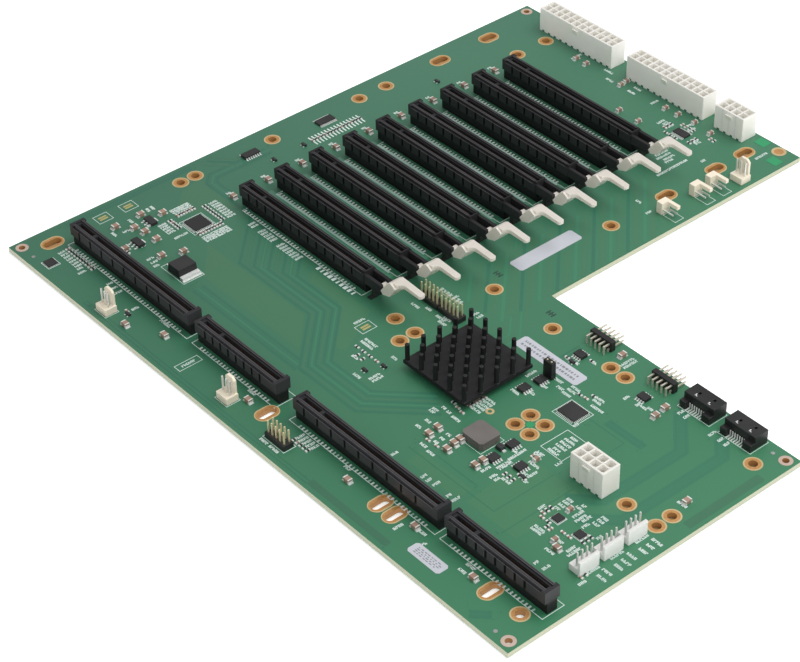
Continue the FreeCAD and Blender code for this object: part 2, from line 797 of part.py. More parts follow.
def make_wafers():
    """Two-way right-angle wafers: an upright block with a locking finger towards the board's edge."""
    pins = []
    for index, (left, front) in enumerate(WAFER_PLACES, 1):
        x = LEFT + left
        y = FRONT + front
        body = new_body(f"wafer_header_{index}", x, y, DECK)
        half_x = d.wafer_depth / 2
        half_y = d.wafer_length / 2
        upright = new_sketch(body)
        rectangle(upright, -half_x, -half_y, half_x, half_y)
        pad(body, upright, d.wafer_height)
        finger = new_sketch(body, "YZ_Plane", lift=half_x)
        width = d.wafer_finger_width
        rectangle(finger, half_y - width, d.wafer_height - width, half_y, d.wafer_height)
        pad(body, finger, d.wafer_finger)
        for way in range(WAFER_WAYS):
            pin_y = y + d.pin_pitch * (way - (WAFER_WAYS - 1) / 2) - d.pin_width
            reach = x + half_x + d.wafer_finger / 2
            height = DECK + d.wafer_height / 2 - d.pin_width
            pins.append(block("Pin", reach, pin_y, height, d.wafer_finger, d.pin_width, d.pin_width))
    group("wafer_pins", pins)


def bent_pin(x, y, level, tail):
    """A right-angle pin: straight over the edge in front, bent down to the board behind."""
    width = d.pin_width
    front = y + d.pin_pitch / 2 + d.angle_reach
    run = block("Run", x, (front + y - tail) / 2, DECK + level, width, front - y + tail, width)
    leg = block("Leg", x, y - tail + width / 2, DECK, width, width, level + width)
    pin = doc.addObject("Part::Fuse", "BentPin")
    pin.Base = run
    pin.Tool = leg
    return pin


def make_angle_headers():
    pins = []
    low_row = (d.pin_pitch / 2 - d.pin_width / 2, d.angle_tail)
    high_row = (low_row[0] + d.pin_pitch, low_row[1] + d.pin_pitch)
    for index, (left, front) in enumerate(ANGLE_PLACES, 1):
        x = LEFT + left
        y = FRONT + front
        body = new_body(f"angle_header_{index}", x, y, DECK)
        half_x = d.pin_pitch * HEADER_WAYS / 2
        base = new_sketch(body)
        rectangle(base, -half_x, -d.pin_pitch / 2, half_x, d.pin_pitch / 2)
        pad(body, base, d.pin_pitch * 2)
        hole = new_sketch(body, "XZ_Plane", lift=d.pin_pitch / 2)
        square(hole, d.pin_pitch / 2 - half_x, d.pin_pitch / 2, d.pin_width + 2 * d.pin_clearance)
        passage = pocket(body, hole, d.pin_pitch)
        row(body, passage, d.pin_pitch, HEADER_WAYS, second=("Z_Axis", d.pin_pitch, 2))
        for column in range(HEADER_WAYS):
            pin_x = x + d.pin_pitch * (column - (HEADER_WAYS - 1) / 2)
            for level, tail in (low_row, high_row):
                pins.append(bent_pin(pin_x, y, level, tail))
    group("angle_header_pins", pins)


def make_disk_sockets():
    """Right-angle serial-disk sockets: a mouth with a contact tongue on +Y and a lead step behind."""
    for index, (left, front) in enumerate(DISK_PLACES, 1):
        body = new_body(f"disk_socket_{index}", LEFT + left, FRONT + front, DECK)
        half_x = d.disk_length / 2
        half_y = d.disk_depth / 2
        shell = new_sketch(body, "YZ_Plane", lift=-half_x)
        step = d.disk_step - half_y
        outline = [(-half_y, 0), (half_y, 0), (half_y, d.disk_height), (step, d.disk_height)]
        polygon(shell, outline + [(step, d.disk_step_height), (-half_y, d.disk_step_height)])
        pad(body, shell, d.disk_length)
        leads = new_sketch(body, lift=d.disk_step_height)
        rectangle(leads, -half_x + 3 * d.disk_wall, -half_y, half_x - 4 * d.disk_wall, step)
        pocket(body, leads, d.disk_step_height)
        mouth = new_sketch(body, "XZ_Plane", lift=-half_y)
        rectangle(mouth, d.disk_wall - half_x, d.disk_wall, half_x - d.disk_wall, d.disk_height - d.disk_wall)
        pocket(body, mouth, d.disk_mouth, reverse=True)
        tongue = new_sketch(body, "XZ_Plane", lift=d.disk_mouth - half_y)
        middle = d.disk_height / 2
        left_end = 3 * d.disk_wall - half_x
        right_end = half_x - 3 * d.disk_wall
        thick = d.disk_tongue
        key = [(right_end - thick, middle), (right_end - thick, middle - thick), (right_end, middle - thick)]
        outer = [(right_end, middle + thick), (left_end, middle + thick)]
        polygon(tongue, [(left_end, middle)] + key + outer)
        pad(body, tongue, d.disk_mouth - d.disk_wall, reverse=True)
        slots = new_sketch(body, lift=d.disk_height)
        square(slots, d.disk_wall - d.disk_length / 4, d.disk_wall, d.disk_tongue)
        square(slots, d.disk_length / 4, d.disk_wall * 2, d.disk_tongue)
        pocket(body, slots, d.disk_wall)


def make_switch_stack():
    """The switch chip, its thermal pad and a heatsink with staggered eight-sided pins."""
    x = LEFT + SINK_PLACE[0]
    y = FRONT + SINK_PLACE[1]
    chip = block("switch_chip", x, y, DECK, d.chip_size, d.chip_size, d.chip_height)
    thermal = block("thermal_pad", x, y, DECK + d.chip_height, d.pad_size, d.pad_size, d.pad_thickness)
    list_part(chip, "switch_chip")
    list_part(thermal, "thermal_pad")
    body = new_body("heatsink", x, y, DECK + d.chip_height + d.pad_thickness)
    half = d.sink_size / 2
    base = new_sketch(body)
    rectangle(base, -half, -half, half, half)
    pad(body, base, d.sink_base)
    for count in (SINK_PINS, SINK_PINS - 1):
        first = -d.sink_pin_pitch * (count - 1) / 2
        section = new_sketch(body, lift=d.sink_base)
        round_polygon(section, first, first, d.sink_pin_diameter, PIN_SIDES)
        pin = pad(body, section, d.sink_pin_height)
        row(body, pin, d.sink_pin_pitch, count, second=("Y_Axis", d.sink_pin_pitch, count))


def make_supply_parts():
    x = LEFT + INDUCTOR_PLACE[0]
    y = FRONT + INDUCTOR_PLACE[1]
    body = new_body("power_inductor", x, y, DECK)
    outline = new_sketch(body)
    cut_rectangle(outline, 0, 0, d.inductor_length, d.inductor_width, d.inductor_chamfer)
    pad(body, outline, d.inductor_height)
    x = LEFT + REGULATOR_PLACE[0]
    y = FRONT + REGULATOR_PLACE[1]
    body = new_body("power_regulator", x, y, DECK)
    half_x = d.regulator_length / 2
    half_y = d.regulator_width / 2
    section = new_sketch(body, "XZ_Plane")
    slope = d.regulator_tab_thickness / 2
    tab = [(half_x + d.regulator_tab, 0), (half_x + d.regulator_tab, d.regulator_tab_thickness)]
    shoulder = [(half_x, d.regulator_tab_thickness), (half_x - slope, d.regulator_height)]
    polygon(section, [(-half_x, 0)] + tab + shoulder + [(slope - half_x, d.regulator_height)])
    pad(body, section, d.regulator_width, midplane=True)


def make_small_parts():
    chips = []
    for left, front, length, width, height in CHIPS:
        chips.append(block("Chip", LEFT + left, FRONT + front, DECK, length, width, height))
    group("chip_packages", chips)
    caps = []
    for left, front in CAPS_ALONG_X:
        caps.append(block("Cap", LEFT + left, FRONT + front, DECK, d.cap_length, d.cap_width, d.cap_height))
    for left, front in CAPS_ALONG_Y:
        caps.append(block("Cap", LEFT + left, FRONT + front, DECK, d.cap_width, d.cap_length, d.cap_height))
    for index in range(CARD_SLOTS):
        x = LEFT + d.slot_from_left - 2 * d.cap_length
        y = FRONT + d.slot_from_front + d.slot_pitch * index - d.cap_width
        caps.append(block("Cap", x, y, DECK, d.cap_length, d.cap_width, d.cap_height))
    group("capacitors", caps)
    labels = new_body("labels", LEFT, FRONT, DECK)
    outlines = new_sketch(labels)
    for left, front, length, width in LABELS:
        cut_rectangle(outlines, left, front, as_size(length), as_size(width), d.label_corner)
    pad(labels, outlines, d.label_thickness)


def check_and_write():
    doc.recompute()
    for item in doc.Objects:
        if "Invalid" in item.State or "Error" in item.State:
            raise RuntimeError(f"{item.Name} ({item.Label}) failed: {item.State}")
    for item in parts:
        if item.Shape.isNull() or not item.Shape.isValid() or not item.Shape.Solids:
            raise RuntimeError(f"{item.Label} has no valid solid")
    os.makedirs("parts", exist_ok=True)
    for item in parts:
        item.Shape.exportStep(os.path.join("parts", item.Label + ".step"))
    print(len(parts), "sub-parts written")


make_board()
make_card_slots()
make_host_slots()
make_power_sockets()
make_upright_headers()
make_fan_headers()
make_lock_headers()
make_wafers()
make_angle_headers()
make_disk_sockets()
make_switch_stack()
make_supply_parts()
make_small_parts()
check_and_write()
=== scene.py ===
import math
import random

import bpy
from mathutils import Matrix, Vector


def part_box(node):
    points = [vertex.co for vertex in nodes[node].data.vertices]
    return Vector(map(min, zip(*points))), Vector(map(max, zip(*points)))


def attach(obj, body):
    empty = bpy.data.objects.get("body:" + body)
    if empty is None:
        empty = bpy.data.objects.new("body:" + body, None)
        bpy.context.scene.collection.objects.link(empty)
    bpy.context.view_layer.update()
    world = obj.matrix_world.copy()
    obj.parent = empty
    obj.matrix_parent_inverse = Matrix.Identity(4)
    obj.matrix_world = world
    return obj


# PCI Express backplane: finishes, plated rings, legend, traces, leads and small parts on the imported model.
# Lengths are millimetres in the model's frame, apart from those said to be metres, and heights are
# above the board's top face.

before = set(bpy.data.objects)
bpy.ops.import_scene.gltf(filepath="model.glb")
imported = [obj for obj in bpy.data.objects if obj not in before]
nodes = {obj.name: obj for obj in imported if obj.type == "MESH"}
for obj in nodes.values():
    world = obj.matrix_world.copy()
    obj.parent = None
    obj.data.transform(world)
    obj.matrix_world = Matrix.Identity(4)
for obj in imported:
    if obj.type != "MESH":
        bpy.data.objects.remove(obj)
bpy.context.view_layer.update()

MM = 0.001
BOARD_BODY = "backplane"
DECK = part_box("circuit_board")[1][2] / MM
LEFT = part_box("circuit_board")[0][0] / MM
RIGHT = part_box("circuit_board")[1][0] / MM
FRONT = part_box("circuit_board")[0][1] / MM
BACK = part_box("circuit_board")[1][1] / MM
NOTCH_X = 22.0
NOTCH_Y = -1.15
ink = random.Random(7)


# Materials

WHITE = (1, 1, 1)
# Range of a normal's rise over which a face counts as a top
TOP_RISE = (0.6, 0.95)
# Slot plastic: sheen, height, and the painted shade of its grooves, its skirt and its top
SLOT_SHEEN = 0.28
SLOT_HEIGHT = 10
GROOVE_PAINTED_SHADE = (0.12, 0.12, 0.12)
GROOVE_SLANT = (0.25, 0.45)
SKIRT_PAINTED_SHADE = (0.22, 0.22, 0.22)
SKIRT_TOP = (0.48, 0.6)
SLOT_TOP_PAINTED_SHADE = (0.55, 0.52, 0.54)
# Nylon: painted shade on its tops, and how much light goes in and how far, in metres
NYLON_TOP_PAINTED_SHADE = (0.76, 0.76, 0.76)
NYLON_WEIGHT = 0.3
NYLON_RADIUS = (1.0, 0.98, 0.9)
NYLON_DEPTH = 0.002
# The mask's colour with painted light falloff: at the board's front left, its back left and its right
MASK_PAINTED_FALLOFF = [(0.036, 0.138, 0.078), (0.050, 0.164, 0.098), (0.033, 0.170, 0.081)]


def new_material(name):
    material = bpy.data.materials.new(name)
    material.use_nodes = True
    tree = material.node_tree
    return material, tree, tree.nodes["Principled BSDF"]


def link(tree, source, target):
    tree.links.new(source, target)


def add_node(tree, kind, inputs, **settings):
    """Outputs of a new shader node with these settings, and with a value or a link at each input."""
    node = tree.nodes.new("ShaderNode" + kind)
    for name, value in settings.items():
        setattr(node, name, value)
    for name, value in inputs.items():
        if isinstance(value, bpy.types.NodeSocket):
            link(tree, value, node.inputs[name])
        else:
            node.inputs[name].default_value = value
    return node.outputs


def place_coordinates(tree):
    """Object coordinates, which follow a piece when it moves."""
    return add_node(tree, "TexCoord", {})["Object"]


def noise(tree, scale, detail=3.0, stretch=(1, 1, 1)):
    spot = add_node(tree, "Mapping", {"Vector": place_coordinates(tree), "Scale": stretch})["Vector"]
    return add_node(tree, "TexNoise", {"Vector": spot, "Scale": scale, "Detail": detail})["Fac"]


def ramp(tree, factor, low, high, start=0.35, end=0.65):
    """A blend from the low colour to the high one as factor goes from start to end."""
    colours = tree.nodes.new("ShaderNodeValToRGB")
    first, last = colours.color_ramp.elements
    first.position = start
    first.color = (*low, 1)
    last.position = end
    last.color = (*high, 1)
    link(tree, factor, colours.inputs["Fac"])
    return colours.outputs["Color"]


def span(tree, factor, low, high):
    """Factor from 0 to 1 as a value from low to high."""
    return add_node(tree, "MapRange", {"Value": factor, "To Min": low, "To Max": high})["Result"]


def bump(tree, shader, height, strength, distance):
    relief = add_node(tree, "Bump", {"Height": height, "Strength": strength, "Distance": distance})
    link(tree, relief["Normal"], shader.inputs["Normal"])


def mix(tree, factor, first, second, blend="MIX"):
    """Two colours mixed by a factor."""
    inputs = {"Factor": factor, "A": first, "B": second}
    return add_node(tree, "Mix", inputs, data_type="RGBA", blend_type=blend)["Result"]


def along(tree, axis, start, end):
    """0 at start and 1 at end, in millimetres along one axis of the piece."""
    place = add_node(tree, "SeparateXYZ", {"Vector": place_coordinates(tree)})[axis]
    inputs = {"Value": place, "From Min": start * MM, "From Max": end * MM}
    return add_node(tree, "MapRange", inputs)["Result"]


def normal_parts(tree):
    normal = add_node(tree, "NewGeometry", {})["Normal"]
    return add_node(tree, "SeparateXYZ", {"Vector": normal})


def calculate(tree, operation, *values):
    return add_node(tree, "Math", dict(enumerate(values)), operation=operation)["Value"]


def moulded(name, dark, light, roughness, grain=2500, relief=0.15, sheen=0.5):
    """Moulded plastic or ceramic: faint mottling, uneven gloss and a fine grain."""
    material, tree, shader = new_material(name)
    link(tree, ramp(tree, noise(tree, 60), dark, light), shader.inputs["Base Color"])
    link(tree, span(tree, noise(tree, 180), roughness - 0.07, roughness + 0.07), shader.inputs["Roughness"])
    bump(tree, shader, noise(tree, grain, 2), strength=relief, distance=0.00004)
    shader.inputs["Specular IOR Level"].default_value = sheen
    return material


def darken(tree, *shades):
    """Multiplies a material's colour by these."""
    base = tree.nodes["Principled BSDF"].inputs["Base Color"]
    colour = base.links[0].from_socket
    for shade in shades:
        colour = mix(tree, 1.0, colour, shade, "MULTIPLY")
    link(tree, colour, base)


def housing(name, dark, light, roughness):
    """Black slot plastic with painted shade: darker in its grooves, down on its skirt and on top."""
    material = moulded(name, dark, light, roughness, sheen=SLOT_SHEEN)
    tree = material.node_tree
    parts = normal_parts(tree)
    # Painted shade: slanted groove walls, the skirt below the overhang and upward faces are darkened
    slant = calculate(tree, "ABSOLUTE", calculate(tree, "MULTIPLY", parts["X"], parts["Y"]))
    painted_groove_shade = ramp(tree, slant, WHITE, GROOVE_PAINTED_SHADE, *GROOVE_SLANT)
    low = ramp(tree, along(tree, "Z", DECK, DECK + SLOT_HEIGHT), SKIRT_PAINTED_SHADE, WHITE, *SKIRT_TOP)
    painted_top_shade = ramp(tree, parts["Z"], WHITE, SLOT_TOP_PAINTED_SHADE, *TOP_RISE)
    darken(tree, painted_groove_shade, low, painted_top_shade)
    return material


def metal(name, dark, light, roughness, metallic=1.0):
    material, tree, shader = new_material(name)
    link(tree, ramp(tree, noise(tree, 900), dark, light), shader.inputs["Base Color"])
    link(tree, span(tree, noise(tree, 1500), roughness - 0.08, roughness + 0.08), shader.inputs["Roughness"])
    shader.inputs["Metallic"].default_value = metallic
    return material


def translucent(name, dark, light, roughness):
    """Natural nylon, which lets some light through, with painted shade that makes it a little darker on top.
    """
    material = moulded(name, dark, light, roughness, relief=0.08)
    tree = material.node_tree
    shader = tree.nodes["Principled BSDF"]
    # Painted shade: faces that look upwards are darkened
    darken(tree, ramp(tree, normal_parts(tree)["Z"], WHITE, NYLON_TOP_PAINTED_SHADE, *TOP_RISE))
    shader.inputs["Subsurface Weight"].default_value = NYLON_WEIGHT
    shader.inputs["Subsurface Radius"].default_value = NYLON_RADIUS
    shader.inputs["Subsurface Scale"].default_value = NYLON_DEPTH
    return material


def solder_mask(name, tint=(1.0, 1.0, 1.0), laminate=None):
    """Green mask over copper, with a painted light falloff that makes it redder at the board's left and
    darkest at its front left. The bare laminate shows on the board's sides.
    """
    material, tree, shader = new_material(name)
    tinted = [[part * shade for part, shade in zip(mask, tint)] for mask in MASK_PAINTED_FALLOFF]
    front_left, back_left, right = tinted
    # Painted light falloff across the board
    left = ramp(tree, along(tree, "Y", FRONT, BACK), front_left, back_left, start=0.1, end=0.8)
    far = tree.nodes.new("ShaderNodeRGB").outputs["Color"]
    far.default_value = (*right, 1)
    mask = mix(tree, along(tree, "X", LEFT, RIGHT), left, far)
    mottle = ramp(tree, noise(tree, 9, 4), (0.90, 0.95, 0.96), WHITE, start=0.3, end=0.7)
    colour = mix(tree, 1.0, mask, mottle, "MULTIPLY")
    if laminate:
        layers = noise(tree, 40, 2, stretch=(1, 1, 90))
        sides = ramp(tree, layers, laminate, tuple(0.86 * part for part in laminate))
        flat = calculate(tree, "ABSOLUTE", normal_parts(tree)["Z"])
        colour = mix(tree, flat, sides, colour)
    link(tree, colour, shader.inputs["Base Color"])
    link(tree, span(tree, noise(tree, 350), 0.36, 0.48), shader.inputs["Roughness"])
    bump(tree, shader, noise(tree, 700, 4), strength=0.12, distance=0.00003)
    return material


MASK = solder_mask("board_mask", laminate=(0.50, 0.51, 0.36))
BAND = solder_mask("trace_band", (0.84, 0.95, 1.0))
DEEP = solder_mask("trace_deep", (0.72, 0.90, 0.97))
SHADE = solder_mask("mask_shade", (0.95, 0.80, 0.86))
LINE = solder_mask("trace_line", (0.98, 1.14, 1.15))
WARM = solder_mask("trace_warm", (1.18, 0.98, 0.97))
GAP = solder_mask("mask_gap", (0.66, 0.86, 0.95))
POUR = solder_mask("mask_pour", (1.24, 1.03, 0.96))
SQUARE = solder_mask("mask_square", (0.5, 1.6, 1.15))
# Painted light: mask made much brighter between the card slots, where their shade falls
BETWEEN_SLOTS_PAINTED_LIGHT = solder_mask("mask_painted_light_between_slots", (2.0, 1.52, 1.72))
SLOT_BLACK = housing("slot_black", (0.018, 0.0175, 0.019), (0.026, 0.025, 0.027), 0.5)
HOST_GREY = housing("host_grey", (0.030, 0.0295, 0.032), (0.040, 0.039, 0.042), 0.5)
LATCH_WHITE = translucent("latch_white", (0.73, 0.68, 0.60), (0.79, 0.73, 0.66), 0.45)
POWER_WHITE = translucent("power_white", (0.90, 0.87, 0.80), (0.94, 0.91, 0.85), 0.42)
FAN_WHITE = translucent("fan_white", (0.80, 0.79, 0.76), (0.86, 0.85, 0.82), 0.42)
LOCK_BEIGE = moulded("lock_beige", (0.74, 0.66, 0.52), (0.80, 0.73, 0.59), 0.5, relief=0.08)
HEADER_BLACK = moulded("header_black", (0.010, 0.010, 0.010), (0.016, 0.016, 0.016), 0.45, sheen=0.35)
CHIP_BLACK = moulded("chip_black", (0.018, 0.017, 0.018), (0.026, 0.025, 0.026), 0.55, 6000, 0.3, 0.35)
TIN = metal("tin_plate", (0.66, 0.66, 0.63), (0.78, 0.78, 0.75), 0.38, 0.6)
SOLDER = metal("solder", (0.60, 0.62, 0.60), (0.74, 0.76, 0.73), 0.36, 0.2)
LEAD = moulded("slot_lead", (0.56, 0.62, 0.59), (0.74, 0.79, 0.76), 0.5, relief=0.05)
# Painted shade: the tin hold-down tabs are near black, as they lie in shade under the latch carriers
HOLD_DOWN_PAINTED_SHADE = metal("hold_down", (0.030, 0.036, 0.032), (0.045, 0.052, 0.047), 0.5, 0.4)
LEAD_BAND = moulded("lead_band", (0.34, 0.50, 0.44), (0.42, 0.58, 0.51), 0.5, relief=0.05)
DULL_TIN = metal("dull_tin", (0.26, 0.27, 0.26), (0.34, 0.35, 0.34), 0.45, 0.4)
CONTACT = metal("slot_contact", (0.10, 0.055, 0.035), (0.16, 0.09, 0.055), 0.4, 0.6)
# Painted highlight: pale strips along the slots' top edges
RIM_PAINTED_HIGHLIGHT = moulded("rim_painted_highlight", (0.056, 0.052, 0.056), (0.080, 0.075, 0.080), 0.5, relief=0.05)
# Painted shadow: a near-black sheet laid in each groove on the slots' sides
GROOVE_PAINTED_SHADOW = moulded("groove_painted_shadow", (0.003, 0.003, 0.003), (0.004, 0.004, 0.004), 0.8, sheen=0.1)
GOLD = metal("gold_flash", (0.80, 0.69, 0.40), (0.90, 0.81, 0.54), 0.32, 0.6)
PALE_PIN = metal("pale_pin", (0.60, 0.56, 0.46), (0.74, 0.70, 0.58), 0.34, 0.6)
PAD_GOLD = moulded("pad_gold", (0.36, 0.32, 0.12), (0.44, 0.39, 0.16), 0.45, relief=0.05)
COPPER = metal("plated_ring", (0.42, 0.20, 0.060), (0.50, 0.26, 0.090), 0.46, 0.25)
BARREL = moulded("plated_barrel", (0.40, 0.20, 0.065), (0.48, 0.25, 0.085), 0.5, relief=0.05)
RING_PALE = moulded("ring_pale", (0.46, 0.34, 0.17), (0.53, 0.40, 0.21), 0.45, relief=0.05)
RING_PINK = moulded("ring_pink", (0.44, 0.32, 0.26), (0.50, 0.38, 0.32), 0.45, relief=0.05)
SINK = moulded("heatsink_anodised", (0.008, 0.008, 0.009), (0.012, 0.012, 0.013), 0.55, 4000, 0.2, 0.3)
PAD_GREY = moulded("thermal_pad", (0.24, 0.25, 0.27), (0.30, 0.31, 0.33), 0.8)
CORE = moulded("inductor_core", (0.11, 0.098, 0.090), (0.145, 0.130, 0.118), 0.6, 3500, 0.4)
TAN = moulded("capacitor_tan", (0.25, 0.15, 0.11), (0.34, 0.22, 0.16), 0.42)
PAPER = moulded("label_paper", (0.45, 0.46, 0.50), (0.50, 0.51, 0.55), 0.6, 3000, 0.1)
STRIPE = moulded("label_stripe", (0.16, 0.165, 0.19), (0.24, 0.245, 0.27), 0.6)
SYMBOL = moulded("symbol_ink", (0.014, 0.050, 0.034), (0.020, 0.062, 0.042), 0.6, relief=0.05)
SILK = moulded("silk_ink", (0.58, 0.69, 0.64), (0.72, 0.80, 0.76), 0.6, 5000, 0.2)
RESISTOR = moulded("resistor_black", (0.020, 0.020, 0.022), (0.028, 0.028, 0.030), 0.4)


def paint(material, *starts):
    """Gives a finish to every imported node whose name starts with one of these."""
    for name, item in nodes.items():
        if name.startswith(starts):
            item.data.materials.clear()
            item.data.materials.append(material)


paint(MASK, "circuit_board")
paint(SLOT_BLACK, "pcie_slot_")
paint(LATCH_WHITE, "slot_latch_")
paint(TIN, "power_pins", "fan_header_pins", "lock_header_pins", "wafer_pins")
paint(HOLD_DOWN_PAINTED_SHADE, "slot_hold_downs")
paint(HOST_GREY, "host_slot_")
paint(POWER_WHITE, "main_power_socket_", "aux_power_socket_")
paint(FAN_WHITE, "fan_header_1", "fan_header_2", "fan_header_3")
paint(LOCK_BEIGE, "lock_header_1", "lock_header_2", "lock_header_3", "wafer_header_")
paint(GOLD, "header_pins")
paint(PALE_PIN, "angle_header_pins")
paint(HEADER_BLACK, "angle_header_1", "angle_header_2", "disk_socket_", "service_header", "option_header_")
paint(HEADER_BLACK, "jumper_")
paint(SINK, "heatsink")
paint(PAD_GREY, "thermal_pad")
paint(CHIP_BLACK, "switch_chip", "power_regulator", "chip_packages")
paint(CORE, "power_inductor")
paint(TAN, "capacitors")
paint(PAPER, "labels")


# Radii of moulded edges, the least angle of an edge that has one, and the reach of a weld in metres
FINE_EDGE = 0.14
SOFT_EDGE = 0.22
SINK_EDGE = 0.3
EDGE_ANGLE = math.radians(35)
WELD_REACH = 0.000002


def soften(width, *starts):
    """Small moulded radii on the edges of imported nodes."""
    for name, item in nodes.items():
        if name.startswith(starts):
            weld = item.modifiers.new("Weld", "WELD")
            weld.merge_threshold = WELD_REACH
            bevel = item.modifiers.new("Edges", "BEVEL")
            bevel.width = width * MM
            bevel.segments = 2
            bevel.limit_method = "ANGLE"
            bevel.angle_limit = EDGE_ANGLE
            bevel.use_clamp_overlap = True


soften(FINE_EDGE, "pcie_slot_", "host_slot_", "main_power_", "aux_power_", "disk_socket_", "jumper_cap")
soften(SOFT_EDGE, "slot_latch_", "lock_header_1", "lock_header_2", "lock_header_3", "wafer_header_")
soften(FINE_EDGE, "fan_header_1", "fan_header_2", "fan_header_3", "service_header", "option_header_")
soften(FINE_EDGE, "angle_header_1", "angle_header_2", "chip_packages", "power_regulator")
soften(FINE_EDGE, "power_inductor", "capacitors")
soften(SINK_EDGE, "heatsink")


ROUND_SIDES = 32
DISC_SIDES = 12
# Least cosine at a track's mitred corner, so that a sharp one stays short
SHARPEST = 0.3


def oval(x, y, radius, level, stretch, sides):
    """Points round a circle that is drawn out along Y by the stretch."""
    points = []
    for step in range(sides):
        angle = 2 * math.pi * step / sides
        shift = math.copysign(stretch / 2, math.sin(angle)) if stretch else 0.0
        points.append((x + radius * math.cos(angle), y + radius * math.sin(angle) + shift, level))
    return points


class Piece:
    """Collects the faces of one mesh object, in the piece's first material unless another is named."""

    def __init__(self, name, *materials):
        self.name = name
        self.materials = materials
        self.points = []
        self.faces = []
        self.slots = []

    def add(self, points, faces, material=None):
        first = len(self.points)
        slot = self.materials.index(material) if material else 0
        self.points.extend((x * MM, y * MM, (DECK + z) * MM) for x, y, z in points)
        self.faces.extend([tuple(first + i for i in face) for face in faces])
        self.slots.extend([slot] * len(faces))

    def block(self, x, y, z, length, width, height, material=None, inset=0.0):
        """A block standing on z and centred on x, y. Inset draws its top edges in."""
        points = []
        for level, shrink in ((z, 0.0), (z + height, inset)):
            half_x = length / 2 - shrink
            half_y = width / 2 - shrink
            for side_x, side_y in ((-1, -1), (1, -1), (1, 1), (-1, 1)):
                points.append((x + side_x * half_x, y + side_y * half_y, level))
        faces = [(3, 2, 1, 0), (4, 5, 6, 7), (0, 1, 5, 4), (1, 2, 6, 5), (2, 3, 7, 6), (3, 0, 4, 7)]
        self.add(points, faces, material)

    def lay(self, x, y, z, shift, size, along_x, material=None, inset=0.0):
        """A block that is moved along X or Y, with its length along that axis."""
        length, width, height = size
        if along_x:
            self.block(x + shift, y, z, length, width, height, material, inset)
        else:
            self.block(x, y + shift, z, width, length, height, material, inset)

    def patch(self, x, y, length, width, height, material=None):
        """A thin printed field."""
        self.block(x, y, 0, length, width, height, material)

    def frame(self, x, y, length, width, stroke, height):
        """A printed outline."""
        for side in (-1, 1):
            self.patch(x, y + side * (width - stroke) / 2, length, stroke, height)
            self.patch(x + side * (length - stroke) / 2, y, stroke, width - 2 * stroke, height)

    def ring(self, x, y, inner, outer, height, material, stretches=(0.0, 0.0), sides=ROUND_SIDES):
        """A flat ring whose inner and outer edges are drawn out along Y by the two stretches."""
        points = oval(x, y, inner, height, stretches[0], sides)
        points += oval(x, y, outer, height, stretches[1], sides)
        points += oval(x, y, outer, 0.0, stretches[1], sides)
        faces = []
        for start in (0, sides):
            for step in range(sides):
                after = (step + 1) % sides
                faces.append((start + step, start + sides + step, start + sides + after, start + after))
        self.add(points, faces, material)

    def sleeve(self, x, y, radius, low, high, material, stretch=0.0):
        """The plated wall of a hole, facing inwards."""
        sides = ROUND_SIDES
        points = oval(x, y, radius, low, stretch, sides) + oval(x, y, radius, high, stretch, sides)
        faces = [(i, sides + i, sides + (i + 1) % sides, (i + 1) % sides) for i in range(sides)]
        self.add(points, faces, material)

    def disc(self, x, y, z, radius):
        self.add(oval(x, y, radius, z, 0.0, DISC_SIDES), [tuple(range(DISC_SIDES))])

    def strip(self, route, offset, width, height, material):
        """A flat track that follows a route at a sideways offset, mitred at its corners."""
        path = [Vector(point) for point in route]
        runs = [(after - before).normalized() for before, after in zip(path, path[1:])]
        points = []
        for index, corner in enumerate(path):
            before = runs[max(index - 1, 0)]
            after = runs[min(index, len(runs) - 1)]
            side = Vector((-(before + after).y, (before + after).x)).normalized()
            reach = 1 / max(side.dot(Vector((-before.y, before.x))), SHARPEST)
            for distance in (offset - width / 2, offset + width / 2):
                spot = corner + side * distance * reach
                points.append((spot.x, spot.y, height))
        faces = [(2 * i, 2 * i + 2, 2 * i + 3, 2 * i + 1) for i in range(len(path) - 1)]
        self.add(points, faces, material)

    def field(self, corners, height, material):
        """A flat area with these corners, anticlockwise."""
        self.add([(x, y, height) for x, y in corners], [tuple(range(len(corners)))], material)

    def finish(self, body=BOARD_BODY):
        mesh = bpy.data.meshes.new(self.name)
        mesh.from_pydata(self.points, [], self.faces)
        for material in self.materials:
            mesh.materials.append(material)
        mesh.polygons.foreach_set("material_index", self.slots)
        mesh.update()
        item = bpy.data.objects.new(self.name, mesh)
        bpy.context.collection.objects.link(item)
        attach(item, body)


def islands(name):
    """The boxes, in millimetres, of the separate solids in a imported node."""
    mesh = nodes[name].data
    spots = {}
    home = []
    for vertex in mesh.vertices:
        key = tuple(round(part, 6) for part in vertex.co)
        home.append(spots.setdefault(key, len(spots)))
    chief = list(range(len(spots)))

    def root(index):
        while chief[index] != index:
            chief[index] = chief[chief[index]]
            index = chief[index]
        return index

    for face in mesh.polygons:
        corners = [home[vertex] for vertex in face.vertices]
        for corner in corners[1:]:
            chief[root(corner)] = root(corners[0])
    groups = {}
    for key, index in spots.items():
        groups.setdefault(root(index), []).append(key)
    boxes = []
    for corners in groups.values():
        low = [min(part) / MM for part in zip(*corners)]
        high = [max(part) / MM for part in zip(*corners)]
        boxes.append((low, high))
    return sorted(boxes)


def middle(low, high):
    """The centre of a box, seen from above."""
    return (low[0] + high[0]) / 2, (low[1] + high[1]) / 2


# Printed and plated layers, each a little above the one below
TRACE_LEVEL = 0.006
TRACE_STEP = 0.002
VIA_LEVEL = 0.075
SILK_LEVEL = 0.085
RING_LEVEL = 0.09
OVERPRINT_LEVEL = 0.095
LAND_LEVEL = 0.1

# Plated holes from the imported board: round ones and ones drawn out along Y
ROUND_RADIUS = 2.0
TOOLING_RADIUS = 1.5
OBLONG_STRETCH = 5.0
# How far the plated wall stands in from the hole's edge and the board's underside
WALL_PLAY = 0.02
